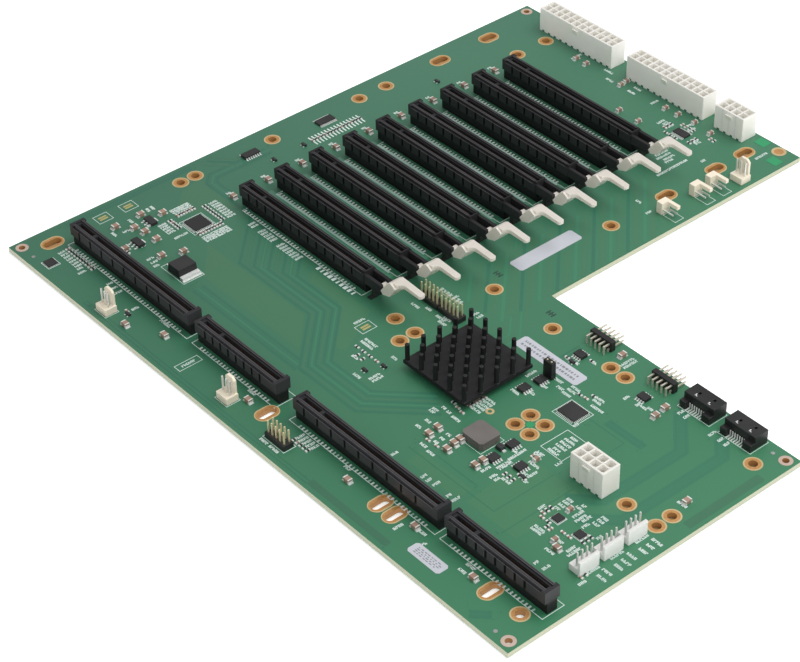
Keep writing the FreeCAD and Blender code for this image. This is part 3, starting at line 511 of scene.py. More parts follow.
# Edges of the copper land and the pale rim round a hole, and how far oblong ones are drawn out
LAND_RADIUS = 3.35
RIM_RADIUS = 4.05
LAND_STRETCH = 4.0
RIM_STRETCH = 3.4
COLUMNS = dict(zip("abcdefghi", (-155.8, -134.05, -10.75, 2.15, 39.15, 74.45, 82.95, 138.35, 154.55)))
ROWS = dict(zip("abcdefghi", (-142.0, -70.7, -62.3, -16.65, 37.25, 54.4, 89.75, 122.4, 141.85)))
# Each hole by its column and its row
ROUND_HOLES = "ab ac ad ae af bh bi cc db dc dd df ed fb fc fd gb gc gd hb ia ib ic id".split()
OBLONG_HOLES = "aa ag ah da dg dh di fa ga ha".split()
TOOLING_INSET = 4.4
TOOLING_RIM = 3.0
# Lands without a hole or with a small one: centre, inner and outer edge, and finish
SOLID = 0.01
BARE_LANDS = [
    (12.1, 154.9, SOLID, 2.3, COPPER), (12.1, 154.9, 2.3, 3.6, RING_PALE), (61.7, -73.1, 0.9, 1.9, RING_PALE),
]
# Small round sighting marks near the corners
SIGHTS = [(-152.7, -154.2), (155.0, -154.6), (155.4, -6.0)]
SIGHT_RADIUS = 0.9
# Brighter squares of mask: centre and size
SQUARES = [(78.7, -66.5, 3.4, 3.4), (1.6, 154.9, 6.4, 5.4), (16.0, 147.4, 6.4, 5.4)]


def make_rings():
    rings = Piece("plated_rings", COPPER, RING_PALE, RING_PINK, SQUARE, BARREL, DULL_TIN)
    foot = -DECK + WALL_PLAY
    for column, line in ROUND_HOLES + OBLONG_HOLES:
        x = COLUMNS[column]
        y = ROWS[line]
        oblong = column + line in OBLONG_HOLES
        hole, land, rim = (OBLONG_STRETCH, LAND_STRETCH, RIM_STRETCH) if oblong else (0.0, 0.0, 0.0)
        rings.ring(x, y, ROUND_RADIUS, LAND_RADIUS, LAND_LEVEL, COPPER, (hole, land))
        rings.ring(x, y, LAND_RADIUS, RIM_RADIUS, RING_LEVEL, RING_PALE, (land, rim))
        rings.sleeve(x, y, ROUND_RADIUS - WALL_PLAY, foot, RING_LEVEL, BARREL, hole)
    tooling = [(LEFT, FRONT, 1, 1), (RIGHT, FRONT, -1, 1), (LEFT, BACK, 1, -1), (RIGHT, NOTCH_Y, -1, -1)]
    for corner_x, corner_y, side_x, side_y in tooling:
        x = corner_x + side_x * TOOLING_INSET
        y = corner_y + side_y * TOOLING_INSET
        rings.ring(x, y, TOOLING_RADIUS, TOOLING_RIM, RING_LEVEL, RING_PINK)
        rings.sleeve(x, y, TOOLING_RADIUS - WALL_PLAY, foot, RING_LEVEL, BARREL)
    for x, y, inner, outer, finish in BARE_LANDS:
        rings.ring(x, y, inner, outer, RING_LEVEL, finish)
    for x, y in SIGHTS:
        rings.ring(x, y, SOLID, SIGHT_RADIUS, RING_LEVEL, DULL_TIN, sides=16)
    for x, y, length, width in SQUARES:
        rings.patch(x, y, length, width, RING_LEVEL, SQUARE)
    rings.finish()


def slot_boxes(start):
    """Left end, right end and middle line of the slots with that name, in millimetres."""
    found = []
    for name in sorted(nodes):
        if name.startswith(start):
            low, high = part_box(name)
            found.append((low[0] / MM, high[0] / MM, (low[1] + high[1]) / 2 / MM))
    return found


# Slots without the carriers of their latches, card slots first
CARRIER_LENGTH = 11.2
CARD_LINES = [(left, right - CARRIER_LENGTH, y) for left, right, y in slot_boxes("pcie_slot_")]
SLOT_LINES = CARD_LINES + slot_boxes("host_slot_")
# The host slots lie in front of this line
HOST_LINE = -100.0
# Width of the printed outline round a slot
SLOT_OUTLINE = 11.4

# Fields of mask over solid copper
POURS = [
    [(-108, -90), (-90, -106), (-22, -106), (-39, -90)],
    [(-62, -67), (-22, -67), (-8, -92), (-14, -94), (-36, -73), (-56, -73)],
    [(-152, -64), (-150, -74), (-136, -88), (-120, -60), (-144, -58)],
    [(96, -116), (92, -80), (124, -80), (124, -116)],
    [(62, -118), (62, -110), (92, -110), (92, -118)],
]
# Groups of tracks: route, number of tracks, pitch and width, the ground and the tracks' finishes in turn
BUNDLES = [
    ([(-85, -113), (-12, -113)], 3, 2.6, 0.9, BAND, (GAP, LINE)),
    ([(-20, 20), (0, 0), (32, -32), (32, -42)], 5, 2.2, 0.8, None, (WARM, LINE)),
    ([(113, -15), (130.5, -32.5), (130.5, -76), (120, -86.5)], 3, 2.0, 0.9, DEEP, (GAP, DEEP)),
    ([(136, -15), (143.8, -22.8), (143.8, -78), (131, -90.8)], 3, 2.0, 0.9, DEEP, (GAP, DEEP)),
    ([(98, -42), (119, -42)], 2, 2.2, 0.9, DEEP, (GAP,)),
    ([(162.0, -20), (162.0, -62)], 1, 1.0, 4.2, None, (SHADE,)),
    ([(46, -154.6), (94, -154.6)], 1, 1.0, 3.4, None, (SHADE,)),
    ([(-110, -155.5), (46, -155.5)], 2, 1.8, 0.7, None, (GAP,)),
    ([(142, -156), (148, -150)], 2, 2.2, 0.9, DEEP, (GAP,)),
    ([(-162.8, -60), (-162.8, -130)], 2, 1.8, 0.7, BAND, (GAP,)),
    ([(56, -107), (92, -107)], 1, 1.0, 0.5, None, (GAP,)),
    ([(56, -112), (107, -112), (107, -80)], 1, 1.0, 0.5, None, (GAP,)),
    ([(118, -118), (118, -80)], 1, 1.0, 0.5, None, (GAP,)),
    ([(92, -46), (112, -46), (112, -54)], 1, 1.0, 0.5, None, (GAP,)),
    ([(-112, -52), (-120, -60), (-146, -60), (-150, -56), (-150, -24)], 3, 2.2, 0.8, BAND, (GAP, LINE)),
    ([(-151, -40), (-162, -51)], 3, 3.0, 1.0, None, (WARM, GAP)),
    ([(56, -30), (56, -16)], 2, 2.0, 0.8, None, (GAP,)),
]
# How much wider than its track the ground of an outer track is
GROUND_SHARE = 2.4
# The wide fan of tracks from the first card slot to the heatsink: down at a slant, along, down, along and up
FAN_TRACKS = 9
FAN_STEP = 1.62
FAN_START = -114.0
FAN_SPREAD = 4.7
FAN_TOP = -61.5
FAN_LOW = -88.0
FAN_DROP = 26.0
FAN_CLIMB = 25.0
FAN_CORNERS = (-38.0, -12.0, 25.0, 50.0)
FAN_BEND = 0.414
FAN_LIFT = 0.0002
FAN_GROUND_SHARE = 1.02
FAN_TRACK_SHARE = 0.5
FAN_FINISHES = (GAP, WARM, GAP, LINE)
# Slanting tracks between the latches and the notch
SLANT_TRACKS = 22
SLANT_STEP = 5.4
SLANT_START = -13.5
SLANT_TOP = 97.0
SLANT_END = -31.0
SLANT_REACH = 35.0
SLANT_WIDTH = 1.5
SLANT_FINISHES = (WARM, LINE, WARM, GAP)
DIAGONAL = math.sqrt(0.5)
# Width of the painted light on the mask between two card slots, where their shade falls, and how far before
# the carrier's end it stops
SLOT_GAP = 8.6
SLOT_GAP_END = 12.0
# Clearance of a track to a hole, the steps of looking for it and the shortest track left
TRACK_MARGIN = 3.4
TRACK_STEP = 0.5
SHORTEST_TRACK = 1.0


def hole_spots():
    """Centre of each plated hole, and half of its length along Y beyond the round."""
    round_ones = [(COLUMNS[column], ROWS[line], 0.0) for column, line in ROUND_HOLES]
    return round_ones + [(COLUMNS[column], ROWS[line], OBLONG_STRETCH / 2) for column, line in OBLONG_HOLES]


def clear_of_holes(x, y, margin):
    return all(math.hypot(x - a, max(abs(y - b) - c, 0.0)) > margin for a, b, c in hole_spots())


def on_board(x, y, margin):
    """Whether a spot is on the L-shaped board and at least the margin from its edges."""
    inside = LEFT + margin < x < RIGHT - margin and FRONT + margin < y < BACK - margin
    return inside and (x < NOTCH_X - margin or y < NOTCH_Y - margin)


def open_runs(start, slope, length):
    """The parts of a straight track that stay clear of the holes."""
    runs = []
    begun = None
    for index in range(int(length / TRACK_STEP) + 1):
        x = start[0] + slope[0] * index * TRACK_STEP
        y = start[1] + slope[1] * index * TRACK_STEP
        clear = clear_of_holes(x, y, TRACK_MARGIN)
        if clear and begun is None:
            begun = (x, y)
        if begun is not None and (not clear or (index + 1) * TRACK_STEP > length):
            if math.dist(begun, (x, y)) > SHORTEST_TRACK:
                runs.append([begun, (x, y)])
            begun = None
    return runs


def fan_route(index):
    rise = index * FAN_STEP
    bend = FAN_BEND * rise
    high = FAN_LOW + rise
    low = high - FAN_DROP
    start = FAN_START + FAN_SPREAD * index
    first, second, third, last = FAN_CORNERS
    route = [(start, FAN_TOP), (start + FAN_TOP - high, high), (first + bend, high), (second + bend, low)]
    return route + [(third - bend, low), (last - bend * 2, low + FAN_CLIMB - bend)]


def make_traces():
    tracks = Piece("mask_tracks", BAND, LINE, WARM, GAP, POUR, DEEP, SHADE, BETWEEN_SLOTS_PAINTED_LIGHT)
    level = TRACE_LEVEL
    for corners in POURS:
        turn = sum(a[0] * b[1] - b[0] * a[1] for a, b in zip(corners, corners[1:] + corners[:1]))
        tracks.field(corners if turn > 0 else corners[::-1], level, POUR)
    slots = slot_boxes("pcie_slot_")
    first_line = min(y for left, right, y in slots)
    # Painted light: a brighter field of mask in the shade in front of each card slot but the first
    for left, right, y in slots:
        if y == first_line:
            continue
        near = y - SLOT_OUTLINE / 2
        front = near - SLOT_GAP
        end = right - SLOT_GAP_END
        tracks.field([(left, front), (end, front), (end, near), (left, near)], level, BETWEEN_SLOTS_PAINTED_LIGHT)
    for route, count, pitch, width, ground, finishes in BUNDLES:
        level += TRACE_STEP
        if ground:
            tracks.strip(route, 0, (count - 1) * pitch + width * GROUND_SHARE, level, ground)
        for index in range(count):
            offset = (index - (count - 1) / 2) * pitch
            tracks.strip(route, offset, width, level + TRACE_STEP / 2, finishes[index % len(finishes)])
    level += TRACE_STEP
    for index in range(FAN_TRACKS):
        route = fan_route(index)
        lift = FAN_LIFT * index
        finish = FAN_FINISHES[index % len(FAN_FINISHES)]
        tracks.strip(route, 0, FAN_STEP * FAN_GROUND_SHARE, level + lift, BAND)
        tracks.strip(route, 0, FAN_STEP * FAN_TRACK_SHARE, level + TRACE_STEP + lift, finish)
    level += 3 * TRACE_STEP
    for index in range(SLANT_TRACKS):
        start = (SLANT_START, SLANT_TOP - SLANT_STEP * index)
        length = min(SLANT_REACH, start[1] - SLANT_END) * math.sqrt(2)
        finish = SLANT_FINISHES[index % len(SLANT_FINISHES)]
        for run in open_runs(start, (DIAGONAL, -DIAGONAL), length):
            tracks.strip(run, 0, SLANT_WIDTH, level, finish)
    tracks.finish()


def down(x, y, length, count, step):
    """Words under one another."""
    return [(x, y - step * index, length) for index in range(count)]


def across(x, y, length, count, step):
    """Words beside one another."""
    return [(x + step * index, y, length) for index in range(count)]


# Printed words along X and along Y, as plain strokes: centre and length
WORDS_X = [
    *down(-139, -78.5, 4, 7, 1.5), *down(-112, -76, 5, 9, 1.6), (-148, -92.5, 3.5), (-148, -95, 3),
    (-146, -106, 3.5), (-142.5, -117.5, 4), (-74, -138.4, 7), (-5, -80.8, 8), (-5, -83, 8), (-2, -92, 4),
    (8, -99.2, 4.5), (9.5, -80, 3.5), *down(57.5, -68.5, 5, 4, 2), (57.5, -76.8, 5), (46, -89, 3.4),
    (46, -90.8, 3.4), (56, -86.6, 5), (49.5, -96, 3.2), (49.5, -101, 3.2), (61.5, -95.3, 2.6),
    (61.5, -98.8, 2.6), (61.5, -102, 2.6), (59.5, -107, 4), (65, -108, 4.5), (15, -153.6, 5),
    (21.5, -153.6, 6), (-12.5, -138.5, 5), (50, -138.6, 4), (98, -140.6, 4), (124, -139, 5),
    (123.5, -143, 4), (161, -77, 5.5), (161, -80.6, 4), (161, -84.4, 4.5), (160, -89.6, 5), (161, -93.6, 5),
    (161, -97.4, 4.5), (160, -102.6, 5), (161, -106.4, 5), (94, -76.6, 4), (97.6, -82, 6), (100, -88.2, 4),
    (122, -87.6, 3.4), (122, -90, 3.4), (127.5, -86, 3), (138.5, -85, 3.5), (138.5, -87.5, 3.5),
    (126, -105.4, 6), (126, -107.2, 6), (136, -104.4, 4), (-12, -50, 5), (2, -47.6, 6), (5, -49.4, 5),
    (-6.4, -47.2, 3.6), (4.4, -46, 4.6), (67, -19.6, 4), (58, -25.8, 3), (62.5, -25.2, 3), (65, -45.6, 3),
    (64.6, -52.4, 3.4), (59.4, -57, 5), (86.5, -34.4, 5), (86.5, -36.4, 5), (74.5, -37, 5),
    (74.5, -39.4, 5), (89.6, -39.4, 7), (74.5, -42.4, 5), (152.5, -54.6, 5), (101.5, -24.6, 4),
    (104, -23.2, 3), (-39, 131.8, 5), (-39, 133.6, 5), (-20, 131, 5), (-20, 132.8, 5), (-92, 145, 6),
    (-86, 139.8, 5), (-71, 144.4, 5), (-71, 140, 5), (-3, 77, 3.4), (70, -41.5, 4), (97, -59.4, 4),
    *down(97, -61.8, 6, 3, 2.4), (97, -69, 4), (97, -71, 6), (66, -38.6, 5), (122, -92.4, 3),
    (128, -83.8, 2.2), (137.5, -111, 5), (86.6, -82.2, 2.4), (97.2, -96.6, 5), (94.4, -75.4, 4),
    (47.6, -85.6, 2.4), (51, -86, 2.4), (102.8, -91.2, 2.2), (122, -85.6, 3.4), (138.5, -82.8, 3.5),
]
WORDS_Y = [
    (-107.5, -66, 4), (-105.4, -66, 4), *across(-100, -66, 4.2, 5, 2.2), *across(-86, -66.2, 4.4, 7, 2.2),
    *across(-133, -69, 4.6, 8, 2), *across(-134, -97, 4.4, 5, 1.8), (-121.6, -95.4, 7.5),
    (-92.8, -109.6, 9), (-116.6, -116, 4), (-113.4, -116, 4), (-110.6, -117, 3), (-141, -112, 3.6),
    (-126.6, -112.8, 2.6), *across(-147, -143, 3.6, 7, 2.2), (-131.6, -143.6, 3), (-128.6, -144.4, 4.4),
    (-113.6, -140, 3.2), (-109.6, -140, 3), (-105.8, -141, 4.6), (-91.4, -142, 3.8), (-45.5, -147, 7),
    (-19.8, -75, 6), (13.2, -94, 6), (15.2, -94, 6), *across(22.6, -140.4, 4, 5, 2.2), (55.6, -119, 3.6),
    (73.6, -119, 3.2), (76.6, -119, 3), (80.2, -118.2, 4), (88.6, -119, 2.6), (92, -118.4, 4.6),
    (138.6, -119, 2.6), (143, -118, 4), (88.6, -80.4, 5), (88.6, -85.2, 5), (91.8, -98.4, 4),
    (94, -98.6, 3), (103.6, -74, 4), (155.8, -80, 7), (155.8, -93.4, 7), (155.8, -106, 7), (158, -113.6, 4),
    (76.2, -9, 8), (78.2, -9, 8), (92.4, -25.4, 3.4), (98.6, -24.8, 3), (113.6, -15.4, 3.4),
    (117, -15.6, 3.4), (131.2, -15.4, 4.4), (136, -15.6, 3.4), (139.4, -15.8, 3.4), (9, 146, 8),
    (-12, 108, 20), (-24, 113, 8), (-21.6, 112, 9), (-19, 113, 7), (-17, 111, 5), (6, 74.4, 3.6),
    (-28.4, 138, 5), (-31.6, 139, 4), (-43, 132, 5), (55, -44, 6), (134, -88, 5), (142, -104, 5),
    (91.2, -52.6, 3), (-6.4, 123, 3), (-112.8, 143, 7), (-57.2, 142, 5), (103, -145, 4), (89, -145.4, 5),
    (129.8, -88.6, 6), (132.2, -89.6, 6), (136.4, -91, 4), (144.6, -91.6, 3), (117.6, -96.4, 4),
    (144, -104.4, 7), (90.4, -90.6, 7), (86.8, -98, 5), (101.4, -85.6, 4), (89.4, -91, 7),
    (153.6, -79.6, 5), (-13.2, -34.2, 3.2), (-11.2, -34.2, 3), (-9.2, -34.2, 3.4), (-7.4, -34.2, 3.2),
    (-5, -33.4, 4.4), (-2.8, -34, 3.2), (-0.8, -34.2, 3), (9.6, -34.2, 3.4), (12.2, -34.2, 3.4),
]
# Printed outlines: centre, then length along X and along Y
OUTLINES = [
    (-156.5, -100, 6.4, 7.6), (-156.5, -114, 6.4, 7.6), (-45.5, -147, 4.2, 12), (-14.8, -75.6, 6, 8),
    (97.2, -64.8, 12.4, 15.2), (-123.8, -84.3, 12.6, 12.6), (-99.8, -110.4, 17.4, 11.4),
    (71.9, -87.2, 14, 13), (-143.3, -151.2, 6.4, 6.4), (84.9, -48.6, 13, 11.4), (15.8, 80.4, 8, 5.6),
    (15.8, 101.2, 8, 5.6), (15.8, 111.9, 8, 5.6), (118.5, -8.0, 18, 10.8), (141, -8.0, 18, 10.8),
    (-98.4, -152.0, 8.6, 7.2), (-16.1, -148.5, 8.6, 7.2), (19.2, -149.0, 14, 6.4), (126.6, -96.3, 5.2, 5.2),
    (138.9, -96.2, 5.2, 5.2),
]
OUTLINE_STROKE = 0.22
# The long row of chip resistors at the left of the card slots
LONG_ROW_START = (-141.8, -3)
LONG_ROW_STEP = 1.95
LONG_ROW_COUNT = 16
LONG_ROW = (*LONG_ROW_START, 0, LONG_ROW_STEP, LONG_ROW_COUNT, True)
# Rows of small chip resistors: first one, step, count and whether they lie along X
RESISTOR_ROWS = [
    (-133, -74, 2, 0, 8, False), (-135, -78.6, 0, -1.5, 7, True), (-116.8, -76, 0, -1.6, 9, True),
    (-134, -92.6, 1.8, 0, 5, False), (-147, -139.6, 2.2, 0, 10, False), (22.6, -144, 2.2, 0, 5, False),
    LONG_ROW, (53.6, -68.6, 0, -1.7, 6, True), (-6.6, -87, 4.3, 0, 4, True),
    (-2.2, -90.6, 3.4, 0, 2, False), (122, -100.4, 3.6, 0, 2, True), (127, -102.6, 2, 0, 2, False),
    (133.6, -100.2, 3.4, 0, 2, True), (83.2, -35, -1.2, -3.2, 2, True), (78.6, -38.4, 3.4, 0, 1, True),
    (57.6, -25.6, 4.6, 0, 2, True), (66.2, -19.6, 0, -2, 1, True), (93.4, -78.6, 1.8, 0, 2, False),
    (94, -94.4, 2.4, 0, 3, False), (98.6, -90.6, 2.6, 0, 2, True), (48, -80.6, 3.4, -0.8, 3, True),
    (58.6, -103.8, 5, 0.3, 2, True), (-34.6, 126.8, 3.2, 0, 3, True), (-34, 137.4, 2.4, 0, 4, False),
    (-38, 129.6, 0, 2.2, 3, True), (-21, 128.6, 0, 2.4, 3, True), (-16.6, 138.4, 2.4, 0, 2, False),
    (107, -24.6, 2, 0, 2, False), (155.6, -112, 0, 2.4, 2, True), (142.6, -94, 0, -2.2, 3, True),
    (120.4, -94, 0, -2.2, 3, True), (-92, -145.8, 2.6, 0.6, 1, True), (-129.8, -120.8, 3, 0, 2, True),
    (-137.4, -101.6, 0, -2, 1, False), (63.6, -8.6, 0, 0, 1, False), (-89.6, -146.6, 0, 0, 1, True),
]
# Small capacitors that lie along Y
SMALL_CAPACITORS = [
    (-111.2, 141.2), (-104.2, 141.2), (-79.2, 144.6), (-78.8, 140.4), (-49.4, 141.6), (-41.4, 142.0),
    (-31.2, 142.8), (-19.6, 141.6), (-63.0, 123.6), (-50.0, 123.6), (96.2, -79.4), (126.2, -89.6),
    (134.6, -105.6),
]
# Stout parts with three legs
TRANSISTORS = [
    (11, -87), (7.6, -94.6), (-141.2, -26.7), (-141.7, -8.5), (-141.8, 75.6), (-89.7, -146.8),
    (100.2, -90.4), (61, -26.2),
]
# The diode between the two power chips
DIODE = (81.6, -85.4)

# Printed letters: height, usual width, thickness of their strokes and the heights of second strokes
GLYPH = 1.5
GLYPH_WIDTH = 1.15
STROKE_SHARE = 0.3
BAR_SHARE = 0.6
BAR_STROKE = 0.25
SECOND_STROKES = (0.45, 1.0, 0.7)
STROKE_PLACE = 0.24
# Outline round a slot: stroke, reach past the slot's ends and start on a card slot
SLOT_STROKE = 0.26
OUTLINE_REACH = 0.8
CARD_OUTLINE_START = 4.0
# Word beside the capacitor at a card slot's end: how near that is, the word's shift and length
END_REACH = 9.0
END_SIDE = 12.0
END_WORD_X = -4.6
END_WORD_Y = 0.4
END_WORD_LENGTH = 2.6
# Printed bars in front of the first card slot
BARS_START = -61.0
BARS_LINE = -64.4
BARS_PITCH = 2.7
BARS = (1.5, 0.9, 1.5, 1.9, 1.5, 0.9, 1.5, 1.9, 1.5, 0.9)
BAR_WIDTH = 2.3
# Printed ticks at both ends of the resistors in the long row
TICK_OFFSET = 2.5
TICK = (2.4, 0.7)
# Scattered marks behind each card slot, fewer of them in the middle
MARKS_COUNT = 22
MARKS_START = 3.0
MARKS_PITCH = 3.9
MARKS_OFFSET = 6.3
MARKS_WIDTH = 0.75
MARKS_LENGTHS = (1.2, 2.6)
MARKS_MIDDLE = range(7, 15)
MIDDLE_CHANCE = 0.35
END_CHANCE = 0.8


def word(silk, x, y, length, along_x):
    """A printed word: a run of small upright strokes with gaps between them."""
    count = max(2, round(length / GLYPH_WIDTH))
    pitch = length / count
    up_x, up_y = (0, 1) if along_x else (-1, 0)
    for index in range(count):
        shift = (index - (count - 1) / 2) * pitch
        for part, reach in ((-STROKE_PLACE, 1.0), (STROKE_PLACE, ink.choice(SECOND_STROKES))):
            lift = (1.0 - reach) * GLYPH / 2 * ink.choice((-1, 1))
            size = (pitch * STROKE_SHARE, GLYPH * reach, SILK_LEVEL)
            silk.lay(x + up_x * lift, y + up_y * lift, 0, shift + part * pitch, size, along_x)
        bar = ink.choice((-0.5, 0.0, 0.5)) * (GLYPH - BAR_STROKE)
        size = (pitch * BAR_SHARE, BAR_STROKE, SILK_LEVEL)
        silk.lay(x + up_x * bar, y + up_y * bar, 0, shift, size, along_x)


def ends_card_slot(x, y):
    """Whether a spot is just left of a card slot."""
    return any(0.0 < left - x < END_REACH and abs(y - line) < END_SIDE for left, right, line in CARD_LINES)


def make_silk():
    silk = Piece("silk_legend", SILK)
    for x, y, length in WORDS_X:
        word(silk, x, y, length, True)
    for x, y, length in WORDS_Y:
        word(silk, x, y, length, False)
    for x, y, length, width in OUTLINES:
        silk.frame(x, y, length, width, OUTLINE_STROKE, SILK_LEVEL)
    for left, right, y in SLOT_LINES:
        start = left + CARD_OUTLINE_START if y > HOST_LINE else left - OUTLINE_REACH
        end = right + OUTLINE_REACH
        silk.frame((start + end) / 2, y, end - start, SLOT_OUTLINE, SLOT_STROKE, SILK_LEVEL)
    for low, high in islands("capacitors"):
        x, y = middle(low, high)
        if ends_card_slot(x, y):
            word(silk, x + END_WORD_X, y + END_WORD_Y, END_WORD_LENGTH, False)
    for index, length in enumerate(BARS):
        silk.patch(BARS_START + BARS_PITCH * index, BARS_LINE, length, BAR_WIDTH, SILK_LEVEL)
    row_x, row_y = LONG_ROW_START
    for index in range(LONG_ROW_COUNT):
        for side in (-1, 1):
            silk.patch(row_x + side * TICK_OFFSET, row_y + LONG_ROW_STEP * index, *TICK, SILK_LEVEL)
    for left, right, y in CARD_LINES:
        for index in range(MARKS_COUNT):
            if ink.random() < (MIDDLE_CHANCE if index in MARKS_MIDDLE else END_CHANCE):
                x = left + MARKS_START + MARKS_PITCH * index
                silk.patch(x, y + MARKS_OFFSET, ink.uniform(*MARKS_LENGTHS), MARKS_WIDTH, SILK_LEVEL)
    silk.finish()


# Bare gold pads with the size of the pad and of the split along its middle
GOLD_PADS = [(-156.5, -100), (-156.5, -114), (-14.8, -75.6)]
GOLD_PAD = (2.6, 4.4)
GOLD_SPLIT = (0.4, 4.4)
# Dark symbols by the notch: three upright strokes and one across
SYMBOLS = [(-5, -8), (31, -10)]
SYMBOL_PLACES = (-1.6, 0.0, 1.6)
SYMBOL_STROKE = (0.7, 3.0)
SYMBOL_BAR = (4.2, 0.6)


def make_pads():
    pads = Piece("bare_pads", PAD_GOLD, GAP, SYMBOL)
    for x, y in GOLD_PADS:
        pads.patch(x, y, *GOLD_PAD, SILK_LEVEL, PAD_GOLD)
        pads.patch(x, y, *GOLD_SPLIT, OVERPRINT_LEVEL, GAP)
    for x, y in SYMBOLS:
        for shift in SYMBOL_PLACES:
            pads.patch(x + shift, y, *SYMBOL_STROKE, SILK_LEVEL, SYMBOL)
        pads.patch(x, y, *SYMBOL_BAR, OVERPRINT_LEVEL, SYMBOL)
    pads.finish()


# Soldered leads of a slot, in rows that stop short of its ends, and the pale band along them
ROW_MARGIN = 8
LEAD_PITCH = 2.0
LEAD_OFFSET = 4.75
LEAD_SIZE = (0.75, 1.5, 0.22)
BAND_OFFSET = 6.1
BAND_WIDTH = 1.2
BAND_HEIGHT = 0.1
# Sprung contacts, left out at the key
CONTACT_PITCH = 1.0
CONTACT_OFFSET = 0.85
CONTACT_FOOT = 4.2
CONTACT_SIZE = (0.55, 0.22, 5.0)
KEY_PLACE = 14.5
KEY_REACH = 1.3
# Painted highlights along the edges of a slot's top: distance from its middle and height
RIM_HIGHLIGHT_LINES = [(2.68, 11.25), (1.84, 11.25), (3.6, 10.05)]
RIM_MARGIN = 3.2
RIM_WIDTH = 0.22
RIM_HEIGHT = 0.015
# Pitch of the ribs by the slot's length and whether it is a card slot, and the painted shadow in each groove
# between them
RIB_PITCHES = {(89, True): 6.15, (89, False): 8.65, (56, False): 5.4}
GROOVE_START = 7.15
GROOVE_MARGIN = 13.0
GROOVE_OFFSET = 3.58
GROOVE_FOOT = 6.3
GROOVE_SIZE = (1.1, 0.1, 3.7)


def slot_row(left, right, pitch):
    """Places along a slot, in a row that stops short of its ends."""
    count = int((right - left - ROW_MARGIN) / pitch)
    first = (left + right - (count - 1) * pitch) / 2
    return [first + index * pitch for index in range(count)]


def both_sides(piece, x, y, offset, foot, size):
    """Two blocks alike, at both sides of a slot's middle line."""
    for side in (-1, 1):
        piece.block(x, y + side * offset, foot, *size)


def make_slot_leads():
    """Soldered leads along both sides of each slot, its sprung contacts, painted shadow in each groove and
    painted highlights along its top edges.
    """
    leads = Piece("slot_leads", LEAD, LEAD_BAND)
    contacts = Piece("slot_contacts", CONTACT)
    groove_shadows = Piece("slot_groove_shadows", GROOVE_PAINTED_SHADOW)
    rim_highlights = Piece("slot_rim_edges", RIM_PAINTED_HIGHLIGHT)
    for left, right, y in CARD_LINES[1:]:
        length = right - left - ROW_MARGIN
        leads.block((left + right) / 2, y - BAND_OFFSET, 0.0, length, BAND_WIDTH, BAND_HEIGHT, LEAD_BAND)
    for left, right, y in SLOT_LINES:
        for x in slot_row(left, right, LEAD_PITCH):
            for side in (-1, 1):
                finish = ink.choice((LEAD, LEAD, LEAD, LEAD_BAND))
                leads.block(x, y + side * LEAD_OFFSET, 0.0, *LEAD_SIZE, finish)
        for x in slot_row(left, right, CONTACT_PITCH):
            if abs(x - left - KEY_PLACE) > KEY_REACH:
                both_sides(contacts, x, y, CONTACT_OFFSET, CONTACT_FOOT, CONTACT_SIZE)
        rim = (right - left - RIM_MARGIN, RIM_WIDTH, RIM_HEIGHT)
        # Painted highlight: strips along the top edges
        for edge, level in RIM_HIGHLIGHT_LINES:
            both_sides(rim_highlights, (left + right) / 2, y, edge, level, rim)
        pitch = RIB_PITCHES[round(right - left), y > HOST_LINE]
        # Painted shadow: a near-black sheet in each groove between two ribs
        for index in range(int((right - left - GROOVE_MARGIN) // pitch) + 1):
            x = left + GROOVE_START + index * pitch
            both_sides(groove_shadows, x, y, GROOVE_OFFSET, GROOVE_FOOT, GROOVE_SIZE)
    leads.finish()
    contacts.finish()
    groove_shadows.finish()
    rim_highlights.finish()


# A gull-wing lead: places and lengths of its foot and its knee as shares of its reach
FOOT_PLACE = 0.75
FOOT_SHARE = 0.7
FOOT_HEIGHT = 0.16
KNEE_PLACE = 0.2
KNEE_SHARE = 0.45
# Pitch, reach and width of the leads of large square chips, flat ones and power chips
LARGE_CHIP = 8.0
LARGE_LEADS = (0.8, 1.0, 0.35)
SQUARE_PLAY = 0.2
FLAT_LEADS = (0.6, 0.3, 0.28)
POWER_CHIP_LENGTH = 6.0
POWER_CHIP_HEIGHT = 1.5
POWER_LEADS = (2.3, 1.7, 0.8)
POWER_TAB = (3.0, 1.6, 0.25)
# Two-sided chips: pitch of the taller and of the thinner ones, and the leads' reach
TALL_CHIP = 1.1
TALL_PITCH = 1.27
THIN_PITCH = 0.65
SIDE_REACH = 1.35
# The power regulator: legs at both sides of its middle, its tab and the solder at the tab's end
LEG_OFFSET = 2.54
LEG_OUT = 1.8
LEG_SIZE = (3.8, 0.9, 0.4)
TAB_PARTS = [(-1.0, 2.2, 0.06, 1.34), (0.6, 1.2, 0.6, 0.2)]


def leads_along(piece, low, high, along_x, sides, pitch, reach, width):
    """Gull-wing leads on two opposite sides of a chip, or on one of them."""
    lane = 0 if along_x else 1
    length = high[lane] - low[lane]
    count = max(2, int((length - width) / pitch) + 1)
    foot = (reach * FOOT_SHARE, width, FOOT_HEIGHT)
    knee = (reach * KNEE_SHARE, width, (high[2] - low[2]) * KNEE_SHARE)
    for index in range(count):
        place = (low[lane] + high[lane]) / 2 + (index - (count - 1) / 2) * pitch
        for side in sides:
            edge = high[1 - lane] if side > 0 else low[1 - lane]
            x, y = (place, edge) if along_x else (edge, place)
            piece.lay(x, y, 0.0, side * reach * FOOT_PLACE, foot, not along_x)
            piece.lay(x, y, 0.0, side * reach * KNEE_PLACE, knee, not along_x)


